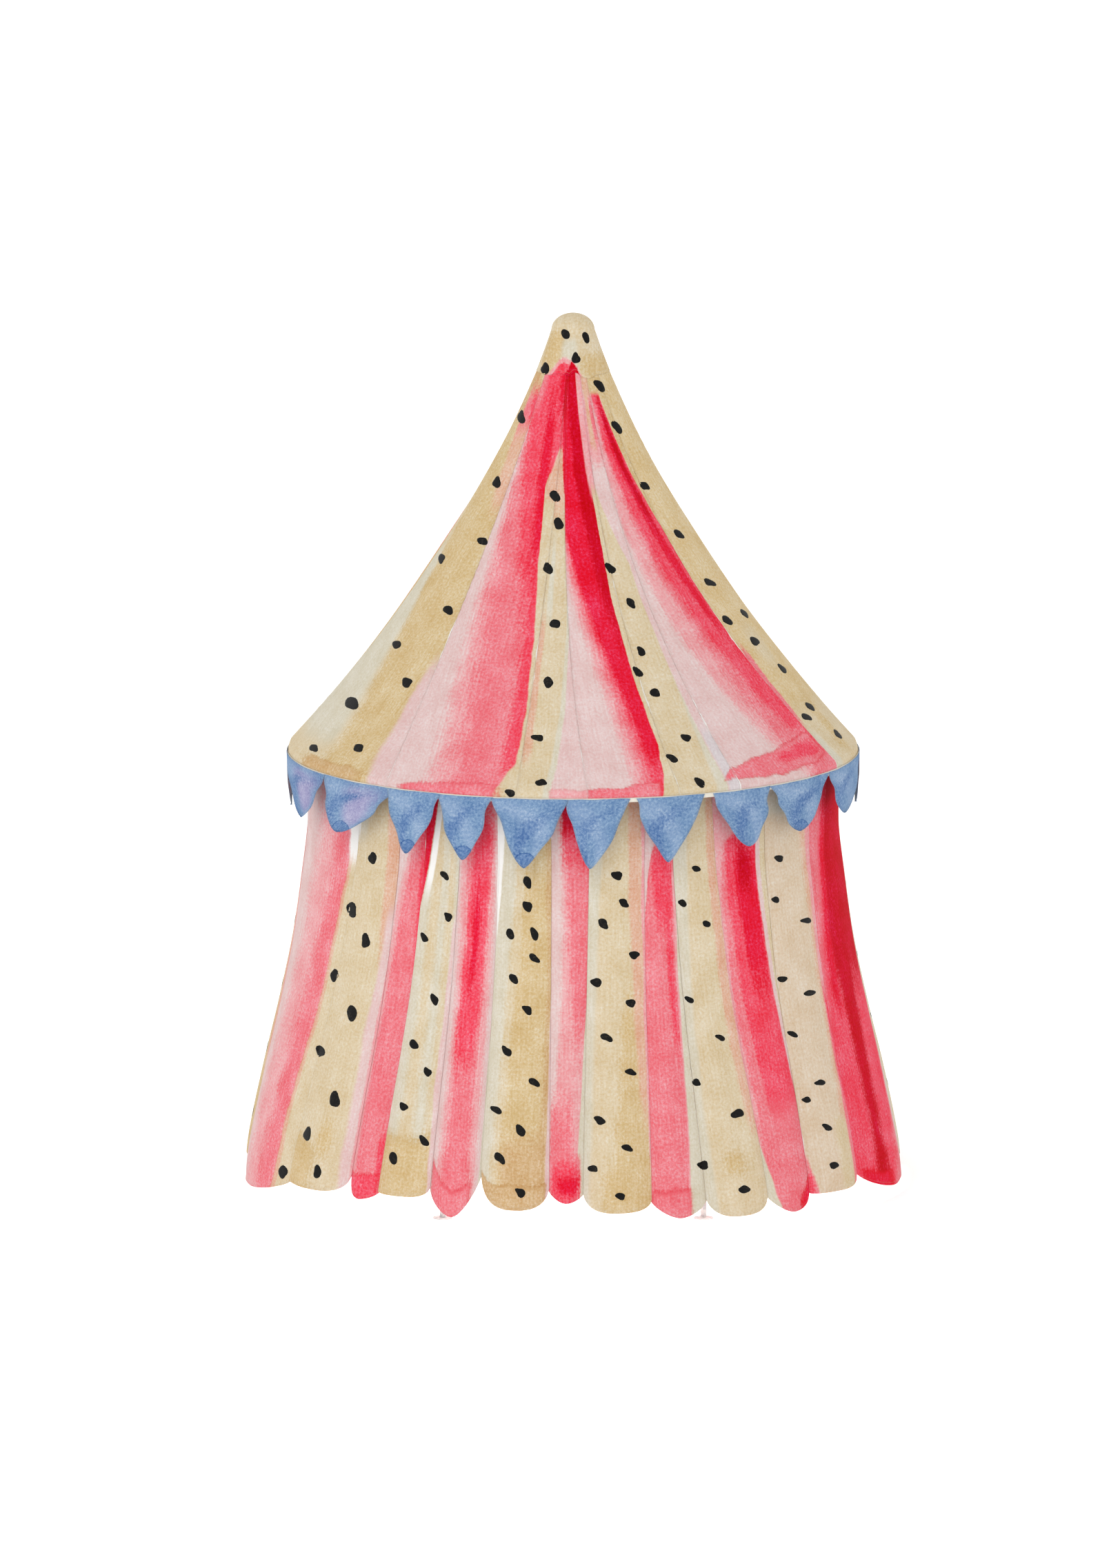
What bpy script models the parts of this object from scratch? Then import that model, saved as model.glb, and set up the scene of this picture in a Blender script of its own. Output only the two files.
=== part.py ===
"""A round circus tent on one king pole.

A bell-shaped roof of red and cream canvas gores hangs from a crown at the pole's
top and passes over a steel hoop at the eave. A ring of blue pennants is sewn to
the roof's edge, and a wall of red and cream drapes hangs from the hoop and flares
out to a hem of rounded tongues.

Metres, +Z up. The origin is on the ground under the king pole, and the front
faces -Y. Angles are in degrees from the front, growing towards +X.
"""

import math

import bpy

# Every cloth solid, and the clearance that neighbouring solids keep
CANVAS = 0.003
GAP = 0.0003

# The roof is a bell: its radius grows faster and faster from the peak to the eave
ROOF_TOP_Z = 6.87
ROOF_TOP_RADIUS = 0.165
EAVE_Z = 3.53
EAVE_RADIUS = 2.25
BELL_STRAIGHT = 0.55
BELL_CURVED = 0.45
EAVE_LIP = [(2.264, 3.49), (2.268, 3.44)]

# Where the roof's rows of facets lie, from under the cap to the eave
CROWN_SEAT = 0.13
HOOP_SEAT = 0.95
ROOF_ROWS = [0.045, CROWN_SEAT, 0.25, 0.38, 0.51, 0.64, 0.76, 0.87, HOOP_SEAT, 1.0]
GORE_COLUMN = 6.0
GORE_BULGE = 0.04

# Each roof seam, as its angle at the peak and at the eave. The odd gores are
# cream and the even ones red, and the first starts behind the left side.
ROOF_SEAMS = [
    (-96, -96),
    (-52, -41),
    (-11, -11.5),
    (-10, 3),
    (11, 22),
    (20, 36),
    (42, 68),
    (96, 96),
    (136, 136),
    (160, 160),
    (200, 200),
    (224, 224),
    (264, 264),
]

# Peak cap and the crown under it
CAP_TOP_Z = 7.0
CAP_SHOULDER_Z = 6.74
CAP_RIM_Z = 6.55
CAP_EASE = 0.003
CAP_ROUNDING = (0, 25, 50, 72, 90)
TURNED_SEGMENTS = 40
CROWN_WALL = 0.006
CROWN_CEILING = (0.13, 6.86)
BOSS_RADIUS = 0.06
BOSS_TOP_Z = 6.89
BOSS_Z = 6.71

# Poles and hoop
KING_POLE_RADIUS = 0.05
KING_PLATE_RADIUS = 0.20
KING_PLATE = 0.014
HOOP_TUBE = 0.025
HOOP_SEGMENTS = 72
SIDE_POLE_COUNT = 6
SIDE_POLE_RADIUS = 0.024
SIDE_PLATE_RADIUS = 0.08
SIDE_PLATE = 0.010
POLE_SEGMENTS = 16

# Wall: its outline from the hoop to the ground, as heights and how far it has
# flared out there
WALL_OUTLINE = [
    (2.90, 0.000),
    (2.46, 0.045),
    (1.93, 0.115),
    (1.39, 0.222),
    (0.86, 0.342),
    (0.32, 0.447),
    (0.00, 0.478),
]
WALL_ROWS_Z = [2.75, 2.05, 1.35, 0.75]
WALL_FACET = 4.6
DRAPE_BULGE = 0.06
DRAPE_COLUMN = 6.0
TONGUE_SQUARENESS = 2.4

# Each wall seam, as its angle at the hoop and at the hem, and the height of the
# notch between the tongues there. The last seam is the first one, a turn later.
WALL_SEAMS = [
    (-91.5, -92, 0.25),
    (-52, -62, 0.20),
    (-40, -44, 0.35),
    (-33, -37.5, 0.26),
    (-25, -26.5, 0.34),
    (-16, -17, 0.48),
    (-4.8, -4.2, 0.37),
    (4, 1.5, 0.34),
    (16, 14, 0.27),
    (21.5, 24.5, 0.25),
    (31, 37.5, 0.23),
    (46, 47, 0.20),
    (63, 61.5, 0.27),
    (92, 92, 0.25),
    (110, 110, 0.27),
    (132, 132, 0.26),
    (150, 150, 0.28),
    (171, 171, 0.26),
    (189, 189, 0.28),
    (210, 210, 0.26),
    (228, 228, 0.27),
    (250, 250, 0.26),
    (268.5, 268, 0.25),
]

# How high each drape's tongue ends above the ground. The odd drapes are red and
# the even ones cream, from the left side round the front to the back.
TONGUE_TIPS = [
    0.05, 0.17, 0.17, 0.21, 0.09, 0.17, 0.21, 0.15, 0.07, 0.08, 0.07, 0.14, 0.04,
    0.15, 0.09, 0.16, 0.08, 0.14, 0.09, 0.16, 0.08, 0.15,
]

# Pennants: the angles between them, those of the front first, and then even ones
FRONT_PENNANTS = [-85, -60, -42, -28, -16, -1, 12.5, 28, 43, 62.5, 84]
BACK_PENNANT_COUNT = 12
VALANCE_TOP_Z = 3.46
VALANCE_BAND = 0.11
PENNANT_DROP = 0.39
PENNANT_ROUNDING = 0.08
PENNANT_STATIONS = [-1.0, -0.6, -0.3, -0.1, 0.0, 0.1, 0.3, 0.6]
PENNANT_FACET = 5.0

# Colour, roughness and metallic value of each material
FINISHES = {
    "red_canvas": ((0.84, 0.06, 0.10), 0.85, 0.0),
    "cream_canvas": ((0.74, 0.60, 0.40), 0.85, 0.0),
    "blue_canvas": ((0.18, 0.30, 0.50), 0.85, 0.0),
    "galvanised_steel": ((0.55, 0.56, 0.57), 0.45, 1.0),
    "painted_pole": ((0.50, 0.46, 0.38), 0.55, 0.0),
}


def polar(angle, radius, z):
    """A point at an angle from the front."""
    turn = math.radians(angle)
    return (radius * math.sin(turn), -radius * math.cos(turn), z)


def between(value, low, high):
    """The value between low and high, where value runs from 0 to 1."""
    return low + (high - low) * value


def roof_radius(t):
    """The roof's outer radius, with t from 0 at its top to 1 at the eave."""
    bell = BELL_STRAIGHT * t + BELL_CURVED * t * t
    return between(bell, ROOF_TOP_RADIUS, EAVE_RADIUS)


def roof_z(t):
    return between(t, ROOF_TOP_Z, EAVE_Z)


def roof_t(z):
    return (ROOF_TOP_Z - z) / (ROOF_TOP_Z - EAVE_Z)


def roof_normal(t):
    """The roof's outward direction in its radius and height."""
    slope = (EAVE_RADIUS - ROOF_TOP_RADIUS) * (BELL_STRAIGHT + 2 * BELL_CURVED * t)
    drop = ROOF_TOP_Z - EAVE_Z
    length = math.hypot(slope, drop)
    return drop / length, slope / length


def facet_ease(radius, column):
    """How far the middle of a facet lies inside the circle through its corners."""
    return radius * (1 - math.cos(math.radians(column / 2)))


def hoop_centre():
    """The hoop's ring radius and height, with the roof lying on its upper side."""
    normal_r, normal_z = roof_normal(HOOP_SEAT)
    ease = facet_ease(roof_radius(HOOP_SEAT), GORE_COLUMN) * normal_r
    depth = CANVAS + GAP + ease + HOOP_TUBE
    radius = roof_radius(HOOP_SEAT) - depth * normal_r
    return radius, roof_z(HOOP_SEAT) - depth * normal_z


HOOP_RADIUS, HOOP_Z = hoop_centre()
WALL_TOP_Z = HOOP_Z + 0.003
WALL_TOP_RADIUS = HOOP_RADIUS + HOOP_TUBE + GAP + CANVAS
WALL_TOP_RADIUS += facet_ease(HOOP_RADIUS, WALL_FACET)


def wall_radius(z):
    """The wall's outer radius at the seams between drapes."""
    if z >= WALL_OUTLINE[0][0]:
        return WALL_TOP_RADIUS
    for (high, high_out), (low, low_out) in zip(WALL_OUTLINE, WALL_OUTLINE[1:]):
        if z >= low:
            part = (high - z) / (high - low)
            return WALL_TOP_RADIUS + between(part, high_out, low_out)
    return WALL_TOP_RADIUS + WALL_OUTLINE[-1][1]


def make_material(name):
    colour, roughness, metallic = FINISHES[name]
    material = bpy.data.materials.new(name)
    material.use_nodes = True
    shader = material.node_tree.nodes["Principled BSDF"]
    shader.inputs["Base Color"].default_value = (*colour, 1.0)
    shader.inputs["Roughness"].default_value = roughness
    shader.inputs["Metallic"].default_value = metallic
    return material


def add_object(name, mesh, finish):
    """One named piece with its own material."""
    mesh.materials.clear()
    mesh.materials.append(make_material(finish))
    mesh.shade_smooth()
    piece = bpy.data.objects.new(name, mesh)
    bpy.context.collection.objects.link(piece)
    return piece


def add_canvas(name, grid, finish, closed=False, outwards=False):
    """A cloth panel from rows of points, the top row first, each row running
    towards growing angles. It gets the canvas's thickness towards the inside."""
    columns = len(grid[0])
    points = [point for row in grid for point in row]
    last = columns if closed else columns - 1
    faces = []
    for i in range(len(grid) - 1):
        for j in range(last):
            k = (j + 1) % columns
            top, bottom = i * columns, (i + 1) * columns
            faces.append((top + j, bottom + j, bottom + k, top + k))
    mesh = bpy.data.meshes.new(name)
    mesh.from_pydata(points, [], faces)
    panel = add_object(name, mesh, finish)
    thicken = panel.modifiers.new("Thickness", "SOLIDIFY")
    thicken.thickness = CANVAS
    thicken.offset = 1.0 if outwards else -1.0
    return panel


def add_turned(name, profile, segments, finish, place=(0, 0, 0)):
    """A turned piece. Its profile of radii and heights starts and ends on the
    axis, and runs down the outer side."""
    points = [(radius, 0, z) for radius, z in profile]
    edges = [(i, i + 1) for i in range(len(points) - 1)]
    mesh = bpy.data.meshes.new(name)
    mesh.from_pydata(points, edges, [])
    piece = add_object(name, mesh, finish)
    piece.location = place
    turn = piece.modifiers.new("Turn", "SCREW")
    turn.axis = "Z"
    turn.angle = math.tau
    turn.steps = segments
    turn.render_steps = segments
    turn.use_merge_vertices = True
    turn.merge_threshold = 0.0001
    turn.use_smooth_shade = True
    return piece


def inset(profile, distance):
    """A turned profile moved inwards, square to its own segments. Its first
    point is on the axis."""
    normals = []
    for (r0, z0), (r1, z1) in zip(profile, profile[1:]):
        length = math.hypot(r1 - r0, z1 - z0)
        normals.append(((z0 - z1) / length, (r1 - r0) / length))
    before = [(-normals[0][0], normals[0][1])] + normals
    after = normals + [normals[-1]]
    moved = []
    for (radius, z), (ar, az), (br, bz) in zip(profile, before, after):
        scale = distance / (1 + ar * br + az * bz)
        moved.append((radius - scale * (ar + br), z - scale * (az + bz)))
    return moved


def cap_profile():
    """The outside of the peak cap, from its top to its rim."""
    ease = CAP_EASE + CANVAS
    shoulder = ROOF_TOP_RADIUS + ease
    rise = CAP_TOP_Z - ROOF_TOP_Z
    profile = []
    for angle in CAP_ROUNDING:
        turn = math.radians(angle)
        profile.append((shoulder * math.sin(turn), ROOF_TOP_Z + rise * math.cos(turn)))
    for z in (CAP_SHOULDER_Z, CAP_RIM_Z):
        profile.append((roof_radius(roof_t(z)) + ease, z))
    return profile


def build_peak_cap():
    outside = cap_profile()
    inside = inset(outside, CANVAS)
    add_turned("peak_cap", outside + inside[::-1], TURNED_SEGMENTS, "cream_canvas")


def build_crown_head():
    """The turned crown: a dome that carries the cap, a skirt that carries the
    upper ends of the gores, and a boss that stands on the king pole."""
    dome = inset(cap_profile(), CANVAS + GAP)[:-1]
    seat = CANVAS + GAP + facet_ease(roof_radius(CROWN_SEAT), GORE_COLUMN)

    def skirt(t, depth):
        normal_r, normal_z = roof_normal(t)
        return roof_radius(t) - depth * normal_r, roof_z(t) - depth * normal_z

    high = roof_t(CAP_SHOULDER_Z)
    profile = dome + [
        skirt(high, seat),
        skirt(CROWN_SEAT, seat),
        skirt(CROWN_SEAT, seat + CROWN_WALL),
        skirt(high, seat + 2 * CROWN_WALL),
        CROWN_CEILING,
        (BOSS_RADIUS, BOSS_TOP_Z),
        (BOSS_RADIUS, BOSS_Z),
        (0.0, BOSS_Z),
    ]
    add_turned("crown_head", profile, TURNED_SEGMENTS, "galvanised_steel")


def build_king_pole():
    top = BOSS_Z - GAP
    profile = [
        (0.0, top),
        (KING_POLE_RADIUS, top),
        (KING_POLE_RADIUS, KING_PLATE),
        (KING_PLATE_RADIUS, KING_PLATE),
        (KING_PLATE_RADIUS, 0.0),
        (0.0, 0.0),
    ]
    add_turned("king_pole", profile, POLE_SEGMENTS, "painted_pole")


def build_side_poles():
    top = HOOP_Z - HOOP_TUBE - GAP
    profile = [
        (0.0, top),
        (SIDE_POLE_RADIUS, top),
        (SIDE_POLE_RADIUS, SIDE_PLATE),
        (SIDE_PLATE_RADIUS, SIDE_PLATE),
        (SIDE_PLATE_RADIUS, 0.0),
        (0.0, 0.0),
    ]
    pitch = 360 / SIDE_POLE_COUNT
    for number in range(SIDE_POLE_COUNT):
        place = polar(pitch * (number + 0.5), HOOP_RADIUS, 0.0)
        name = f"side_pole_{number + 1}"
        add_turned(name, profile, POLE_SEGMENTS, "galvanised_steel", place)


def build_eave_hoop():
    bpy.ops.mesh.primitive_torus_add(
        major_segments=HOOP_SEGMENTS,
        minor_segments=8,
        major_radius=HOOP_RADIUS,
        minor_radius=HOOP_TUBE,
        location=(0, 0, HOOP_Z),
    )
    hoop = bpy.context.object
    hoop.name = "eave_hoop"
    hoop.data.materials.append(make_material("galvanised_steel"))
    hoop.data.shade_smooth()


def gore_point(start, end, side, t, radius, z):
    """A point on a gore, with side from -1 to 1 across it. The gore swells
    between its seams, except over the crown and from the hoop down."""
    middle = between(min(t, 1.0), (start[0] + end[0]) / 2, (start[1] + end[1]) / 2)
    half = between(min(t, 1.0), (end[0] - start[0]) / 2, (end[1] - start[1]) / 2)
    half -= math.degrees(GAP / 2 / radius)
    span = (t - CROWN_SEAT) / (HOOP_SEAT - CROWN_SEAT)
    swell = math.sin(math.pi * span) if 0 < span < 1 else 0.0
    width = radius * math.radians(half)
    bulge = min(GORE_BULGE, 0.12 * width) * swell * (1 - side * side)
    return polar(middle + side * half, radius + bulge, z)


def build_roof():
    stations = [(t, roof_radius(t), roof_z(t)) for t in ROOF_ROWS]
    stations += [(1.0, radius, z) for radius, z in EAVE_LIP]
    for number, (start, end) in enumerate(zip(ROOF_SEAMS, ROOF_SEAMS[1:]), 1):
        width = max(end[0] - start[0], end[1] - start[1])
        columns = max(2, math.ceil(width / GORE_COLUMN))
        sides = [2 * j / columns - 1 for j in range(columns + 1)]
        grid = []
        for t, radius, z in stations:
            grid.append([gore_point(start, end, s, t, radius, z) for s in sides])
        colour = "cream" if number % 2 else "red"
        add_canvas(f"roof_gore_{number:02d}_{colour}", grid, f"{colour}_canvas")


def hem_z(side, tip, notch):
    """The height of a drape's lower edge, with side from -1 to 1 across it."""
    round_off = (1 - abs(side) ** TONGUE_SQUARENESS) ** (1 / TONGUE_SQUARENESS)
    return notch + (tip - notch) * round_off


def drape_point(left, right, side, z):
    """A point on a drape. The drape swells between its seams, more towards its
    hem."""
    fall = (WALL_TOP_Z - z) / WALL_TOP_Z
    start = between(fall, left[0], left[1])
    end = between(fall, right[0], right[1])
    radius = wall_radius(z)
    half = (end - start) / 2 - math.degrees(GAP / 2 / radius)
    bulge = DRAPE_BULGE * fall * (1 - side * side)
    return polar((start + end) / 2 + side * half, radius + bulge, z)


def build_wall():
    seams = zip(WALL_SEAMS, WALL_SEAMS[1:])
    for number, ((left, right), tip) in enumerate(zip(seams, TONGUE_TIPS), 1):
        width = max(right[0] - left[0], right[1] - left[1])
        columns = 2 * max(3, math.ceil(width / DRAPE_COLUMN))
        sides = [-math.cos(math.pi * j / columns) for j in range(columns + 1)]
        grid = []
        for z in [WALL_TOP_Z] + WALL_ROWS_Z:
            grid.append([drape_point(left, right, side, z) for side in sides])
        hem = []
        for side in sides:
            notch = left[2] if side < 0 else right[2]
            hem.append(drape_point(left, right, side, hem_z(side, tip, notch)))
        grid.append(hem)
        colour = "red" if number % 2 else "cream"
        add_canvas(f"wall_drape_{number:02d}_{colour}", grid, f"{colour}_canvas")


def build_pennant_valance():
    """One ring: a band sewn to the roof's edge, cut into pennants below."""
    first, last = FRONT_PENNANTS[0], FRONT_PENNANTS[-1]
    pitch = (first + 360 - last) / BACK_PENNANT_COUNT
    bounds = FRONT_PENNANTS[:-1]
    bounds += [last + pitch * number for number in range(BACK_PENNANT_COUNT + 1)]
    lip = EAVE_LIP[-1][0]
    radius = lip + GAP + facet_ease(lip, PENNANT_FACET)
    top, edge = [], []
    for start, end in zip(bounds, bounds[1:]):
        for station in PENNANT_STATIONS:
            angle = (start + end) / 2 + station * (end - start) / 2
            point = max(0.0, 1 - math.hypot(station, PENNANT_ROUNDING))
            drop = VALANCE_BAND + PENNANT_DROP * point / (1 - PENNANT_ROUNDING)
            top.append(polar(angle, radius, VALANCE_TOP_Z))
            edge.append(polar(angle, radius, VALANCE_TOP_Z - drop))
    grid = [top, edge]
    add_canvas("pennant_valance", grid, "blue_canvas", closed=True, outwards=True)


def main():
    for old in list(bpy.data.objects):
        bpy.data.objects.remove(old, do_unlink=True)
    build_king_pole()
    build_side_poles()
    build_eave_hoop()
    build_crown_head()
    build_peak_cap()
    build_roof()
    build_wall()
    build_pennant_valance()


main()
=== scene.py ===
import math
import random
from collections import namedtuple

import bmesh
import bpy
import numpy as np
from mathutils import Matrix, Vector, noise
from mathutils.bvhtree import BVHTree


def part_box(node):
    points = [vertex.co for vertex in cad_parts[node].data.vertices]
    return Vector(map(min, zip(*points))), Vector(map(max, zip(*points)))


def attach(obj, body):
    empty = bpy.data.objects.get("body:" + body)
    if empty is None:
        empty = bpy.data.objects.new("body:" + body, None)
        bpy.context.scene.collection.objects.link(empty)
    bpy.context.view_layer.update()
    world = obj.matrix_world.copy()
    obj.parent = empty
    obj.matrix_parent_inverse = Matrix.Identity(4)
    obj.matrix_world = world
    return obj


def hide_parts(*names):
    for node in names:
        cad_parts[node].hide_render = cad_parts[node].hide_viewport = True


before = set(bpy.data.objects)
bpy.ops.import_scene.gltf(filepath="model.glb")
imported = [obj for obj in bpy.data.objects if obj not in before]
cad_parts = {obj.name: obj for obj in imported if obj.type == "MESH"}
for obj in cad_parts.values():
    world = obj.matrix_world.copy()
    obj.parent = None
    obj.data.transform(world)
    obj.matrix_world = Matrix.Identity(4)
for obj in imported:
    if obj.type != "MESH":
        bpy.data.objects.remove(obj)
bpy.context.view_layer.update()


# King pole: a painted steel tube on a round base plate, one length from the ground to the crown. It is rubbed
# thin near its foot, where people and gear brush past it.
class Shade:
    """One socket of a material. Python's operators on it add the Math, Vector Math or Mix nodes they need."""

    def __init__(self, socket):
        self.socket = socket

    def feed(self, sockets):
        """Sets or links input sockets of the node that this socket belongs to."""
        for name, value in sockets.items():
            target = self.socket.node.inputs[name]
            if isinstance(value, Shade):
                self.socket.id_data.links.new(value.socket, target)
            else:
                target.default_value = value

    def node(self, kind, settings, sockets, output=0):
        """Adds a node beside this one: its settings first, then its sockets' values or links."""
        made = self.socket.id_data.nodes.new(kind)
        for name, value in settings.items():
            setattr(made, name, value)
        result = Shade(made.outputs[output])
        result.feed(sockets)
        return result

    def combine(self, operation, first, second):
        """Two sockets, or a socket and a number, joined by the node that their kind needs."""
        pair = [first, second]
        kinds = {value.socket.type for value in pair if isinstance(value, Shade)}
        plain = [not isinstance(value, (Shade, tuple)) for value in pair]
        if "RGBA" in kinds or any(isinstance(value, tuple) and len(value) == 4 for value in pair):
            pair = [(value,) * 3 + (1,) if alone else value for value, alone in zip(pair, plain)]
            settings = {"data_type": "RGBA", "blend_type": operation}
            return self.node("ShaderNodeMix", settings, {0: 1.0, 6: pair[0], 7: pair[1]}, 2)
        if "VECTOR" in kinds:
            pair = [(value,) * 3 if alone else value for value, alone in zip(pair, plain)]
            return self.node("ShaderNodeVectorMath", {"operation": operation}, {0: pair[0], 1: pair[1]})
        return self.node("ShaderNodeMath", {"operation": operation}, {0: pair[0], 1: pair[1]})

    def __add__(self, other):
        return self.combine("ADD", self, other)

    def __radd__(self, other):
        return self.combine("ADD", other, self)

    def __sub__(self, other):
        return self.combine("SUBTRACT", self, other)

    def __rsub__(self, other):
        return self.combine("SUBTRACT", other, self)

    def __mul__(self, other):
        return self.combine("MULTIPLY", self, other)

    def __rmul__(self, other):
        return self.combine("MULTIPLY", other, self)

    def sine(self):
        return self.node("ShaderNodeMath", {"operation": "SINE"}, {0: self})

    def size(self):
        return self.node("ShaderNodeMath", {"operation": "ABSOLUTE"}, {0: self})

    def power(self, exponent):
        """This colour laid on more thickly above 1 and more thinly below it, as a dye is."""
        return self.node("ShaderNodeGamma", {}, {"Color": self, "Gamma": exponent})

    def part(self, axis):
        return self.node("ShaderNodeSeparateXYZ", {}, {"Vector": self}, axis)

    def step(self, low, high):
        """Runs smoothly from 0 to 1 while this value runs from low to high."""
        ends = {"Value": self, "From Min": low, "From Max": high}
        return self.node("ShaderNodeMapRange", {"interpolation_type": "SMOOTHSTEP"}, ends)

    def mix(self, without, with_it):
        """One colour where this mask is 0 and another where it is 1."""
        sockets = {0: self, 6: without, 7: with_it}
        return self.node("ShaderNodeMix", {"data_type": "RGBA"}, sockets, 2)

    def mottle(self, scale, detail=2.0, stretch=(1.0, 1.0, 1.0)):
        """Soft noise about 0, with this vector as its place."""
        sockets = {"Vector": self * stretch, "Scale": scale, "Detail": detail}
        return self.node("ShaderNodeTexNoise", {}, sockets) - 0.5

    def bump(self, distance, strength=1.0):
        return self.node("ShaderNodeBump", {}, {"Height": self, "Distance": distance, "Strength": strength})


def new_finish(name, **constants):
    """A material and its shader, with the values that are the same all over it."""
    material = bpy.data.materials.new(name)
    material.use_nodes = True
    shader = Shade(material.node_tree.nodes["Principled BSDF"].outputs[0])
    shader.feed({words.replace("_", " "): value for words, value in constants.items()})
    return material, shader


def srgb(red, green, blue):
    """A colour as a paint chart gives it, from 0 to 255, in the shader's own scale."""
    return (*[((part / 255 + 0.055) / 1.055) ** 2.4 for part in (red, green, blue)], 1)


def refinish(node, material):
    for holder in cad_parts[node].material_slots:
        holder.material = material


POLE_PAINT = srgb(196, 182, 150)
POLE_PRIMER = srgb(120, 98, 78)
POLE_STEEL = srgb(96, 92, 88)
RUBBED_TO = 1.1

pole_paint, shader = new_finish("pole_paint", Specular_IOR_Level=0.4)
place = shader.node("ShaderNodeTexCoord", {}, {}, "Object")
worn = place.mottle(9.0, 5.0, (1.0, 1.0, 0.35)) - place.part("Z").step(0.0, RUBBED_TO) * 0.16
bare = worn.step(0.02, 0.09)
primer = worn.step(-0.04, 0.02)
colour = bare.mix(primer.mix(POLE_PAINT, POLE_PRIMER), POLE_STEEL)
colour = colour * (place.mottle(60.0, 2.0) * 0.16 + 1.0)
brushed = place.mottle(220.0, 1.0, (1.0, 1.0, 0.06))
relief = brushed * 0.4 - primer * 0.6
shader.feed({"Base Color": colour, "Roughness": primer * 0.25 + 0.45, "Normal": relief.bump(0.0006)})
shader.feed({"Metallic": bare * 0.8})
refinish("king_pole", pole_paint)


# Side poles, eave hoop and crown: hot-dipped galvanised steel. Six poles on round foot plates carry the hoop,
# which is one rolled tube, and the turned crown sits on the king pole's top.
ZINC_LIGHT = srgb(222, 224, 225)
ZINC_DARK = srgb(192, 196, 199)
SPANGLE_SCALE = 45.0

zinc, shader = new_finish("galvanised_steel", Metallic=0.3)
place = shader.node("ShaderNodeTexCoord", {}, {}, "Object")
spangle = place.node("ShaderNodeTexVoronoi", {}, {"Vector": place, "Scale": SPANGLE_SCALE}, "Color").part("X")
dull = place.mottle(7.0, 4.0).step(-0.1, 0.25)
colour = spangle.mix(ZINC_DARK, ZINC_LIGHT) * (1.0 - dull * 0.22)
relief = place.mottle(160.0, 2.0) + spangle * 0.3
shader.feed({"Base Color": colour, "Roughness": spangle * 0.14 + dull * 0.2 + 0.34})
shader.feed({"Normal": relief.bump(0.0004)})
for node in ["eave_hoop", "crown_head"] + [f"side_pole_{number}" for number in range(1, 7)]:
    refinish(node, zinc)


# Roof canopy: twelve gores of heavy cotton canvas, cut to a bell and felled together along their sides. They
# hang from the crown, pass over the eave hoop and turn down in a hemmed lip. The colours are brushed on by
# hand in thin washes that run into each other. Most red gores and some cream ones are washed deeper towards
# their right side, which is partly painted shade, as if lit from the upper left.
CANVAS = 0.003
ROOF_CLOTH = 0.0016
ROOF_TOP_Z = 6.87
ROOF_TOP_RADIUS = 0.165
EAVE_Z = 3.53
EAVE_RADIUS = 2.25
BELL_STRAIGHT = 0.55
BELL_CURVED = 0.45
EAVE_LIP = [(2.2548, 3.52), (2.261, 3.505), (2.2645, 3.485), (2.2665, 3.465), (2.268, 3.44)]
ROOF_START = 0.045
CAP_REACH = 0.105
CROWN_SEAT = 0.13
HOOP_SEAT = 0.95
GORE_BULGE = 0.04
GORE_CREASE = 0.016
PUCKER = 0.0022
PUCKER_PITCH = 0.083
ROOF_SEAMS = [
    (-96, -96),
    (-52, -41),
    (-11, -11.5),
    (-10, 3),
    (11, 22),
    (20, 36),
    (42, 68),
    (96, 96),
    (136, 136),
    (160, 160),
    (200, 200),
    (224, 224),
    (264, 264),
]
ROOF_PITCH = 0.045
ROOF_ROWS = 78
SEAM_WIDTH = 0.014
SEAM_LIFT = 0.0022
HEM_WIDTH = 0.030
STITCH = 0.009
THREAD_PITCH = 0.0024
WELD = 0.0002

# Neighbouring pieces are cut from different places along the bolt, so that their grain differs
BOLT_STEP = 3.7
BOLT_PLACES = 23

CREAM = srgb(224, 206, 172)
CREAM_PALE = srgb(222, 214, 193)
TAN = srgb(219, 194, 148)
TAN_DARK = srgb(214, 181, 136)
PEACH = srgb(229, 184, 158)
UNPAINTED = srgb(249, 247, 243)
CRIMSON = srgb(236, 30, 62)
CRIMSON_DEEP = srgb(214, 4, 36)
RED = srgb(245, 84, 104)
ROSE = srgb(242, 131, 141)
PINK = srgb(240, 170, 173)
PINK_PALE = srgb(232, 202, 199)
LAVENDER_PINK = srgb(222, 211, 212)
THREAD = srgb(214, 204, 186)
# TAN_LIT is painted light: a paler tan for the roof's right side, which the lamp from the upper left lights
# less
TAN_LIT = srgb(224, 200, 155)
PAINT_DEPTH = 0.93

Stroke = namedtuple(
    "Stroke", "colour left right top bottom soft fade wet", defaults=(None, None, None, None, 0.08, 0.06, 0.0)
)


def between(share, low, high):
    return low + (high - low) * share


def polar(angle, radius, z):
    turn = math.radians(angle)
    return (radius * math.sin(turn), -radius * math.cos(turn), z)


def roof_radius(t):
    """The roof's outer radius, with t from 0 at its top to 1 at the eave."""
    return between(BELL_STRAIGHT * t + BELL_CURVED * t * t, ROOF_TOP_RADIUS, EAVE_RADIUS)


def roof_z(t):
    return between(t, ROOF_TOP_Z, EAVE_Z)


def roof_t(z):
    return (ROOF_TOP_Z - z) / (ROOF_TOP_Z - EAVE_Z)


def marks(length, pitch_count, hem_before, hem_after):
    """Places from 0 to 1 along a length of cloth, with closer ones where a hem's fold ends."""
    starts = [0.0, 0.5 * hem_before, 0.9 * hem_before, 1.15 * hem_before] if hem_before else [0.0]
    ends = [1.15 * hem_after, 0.9 * hem_after, 0.5 * hem_after, 0.0] if hem_after else [0.0]
    shrink = min(1.0, 0.3 * length / max(hem_before, hem_after, 0.001))
    starts = [place * shrink / length for place in starts]
    ends = [1 - place * shrink / length for place in ends]
    inner = [between(step / pitch_count, starts[-1], ends[0]) for step in range(1, pitch_count)]
    return starts + inner + ends


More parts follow.
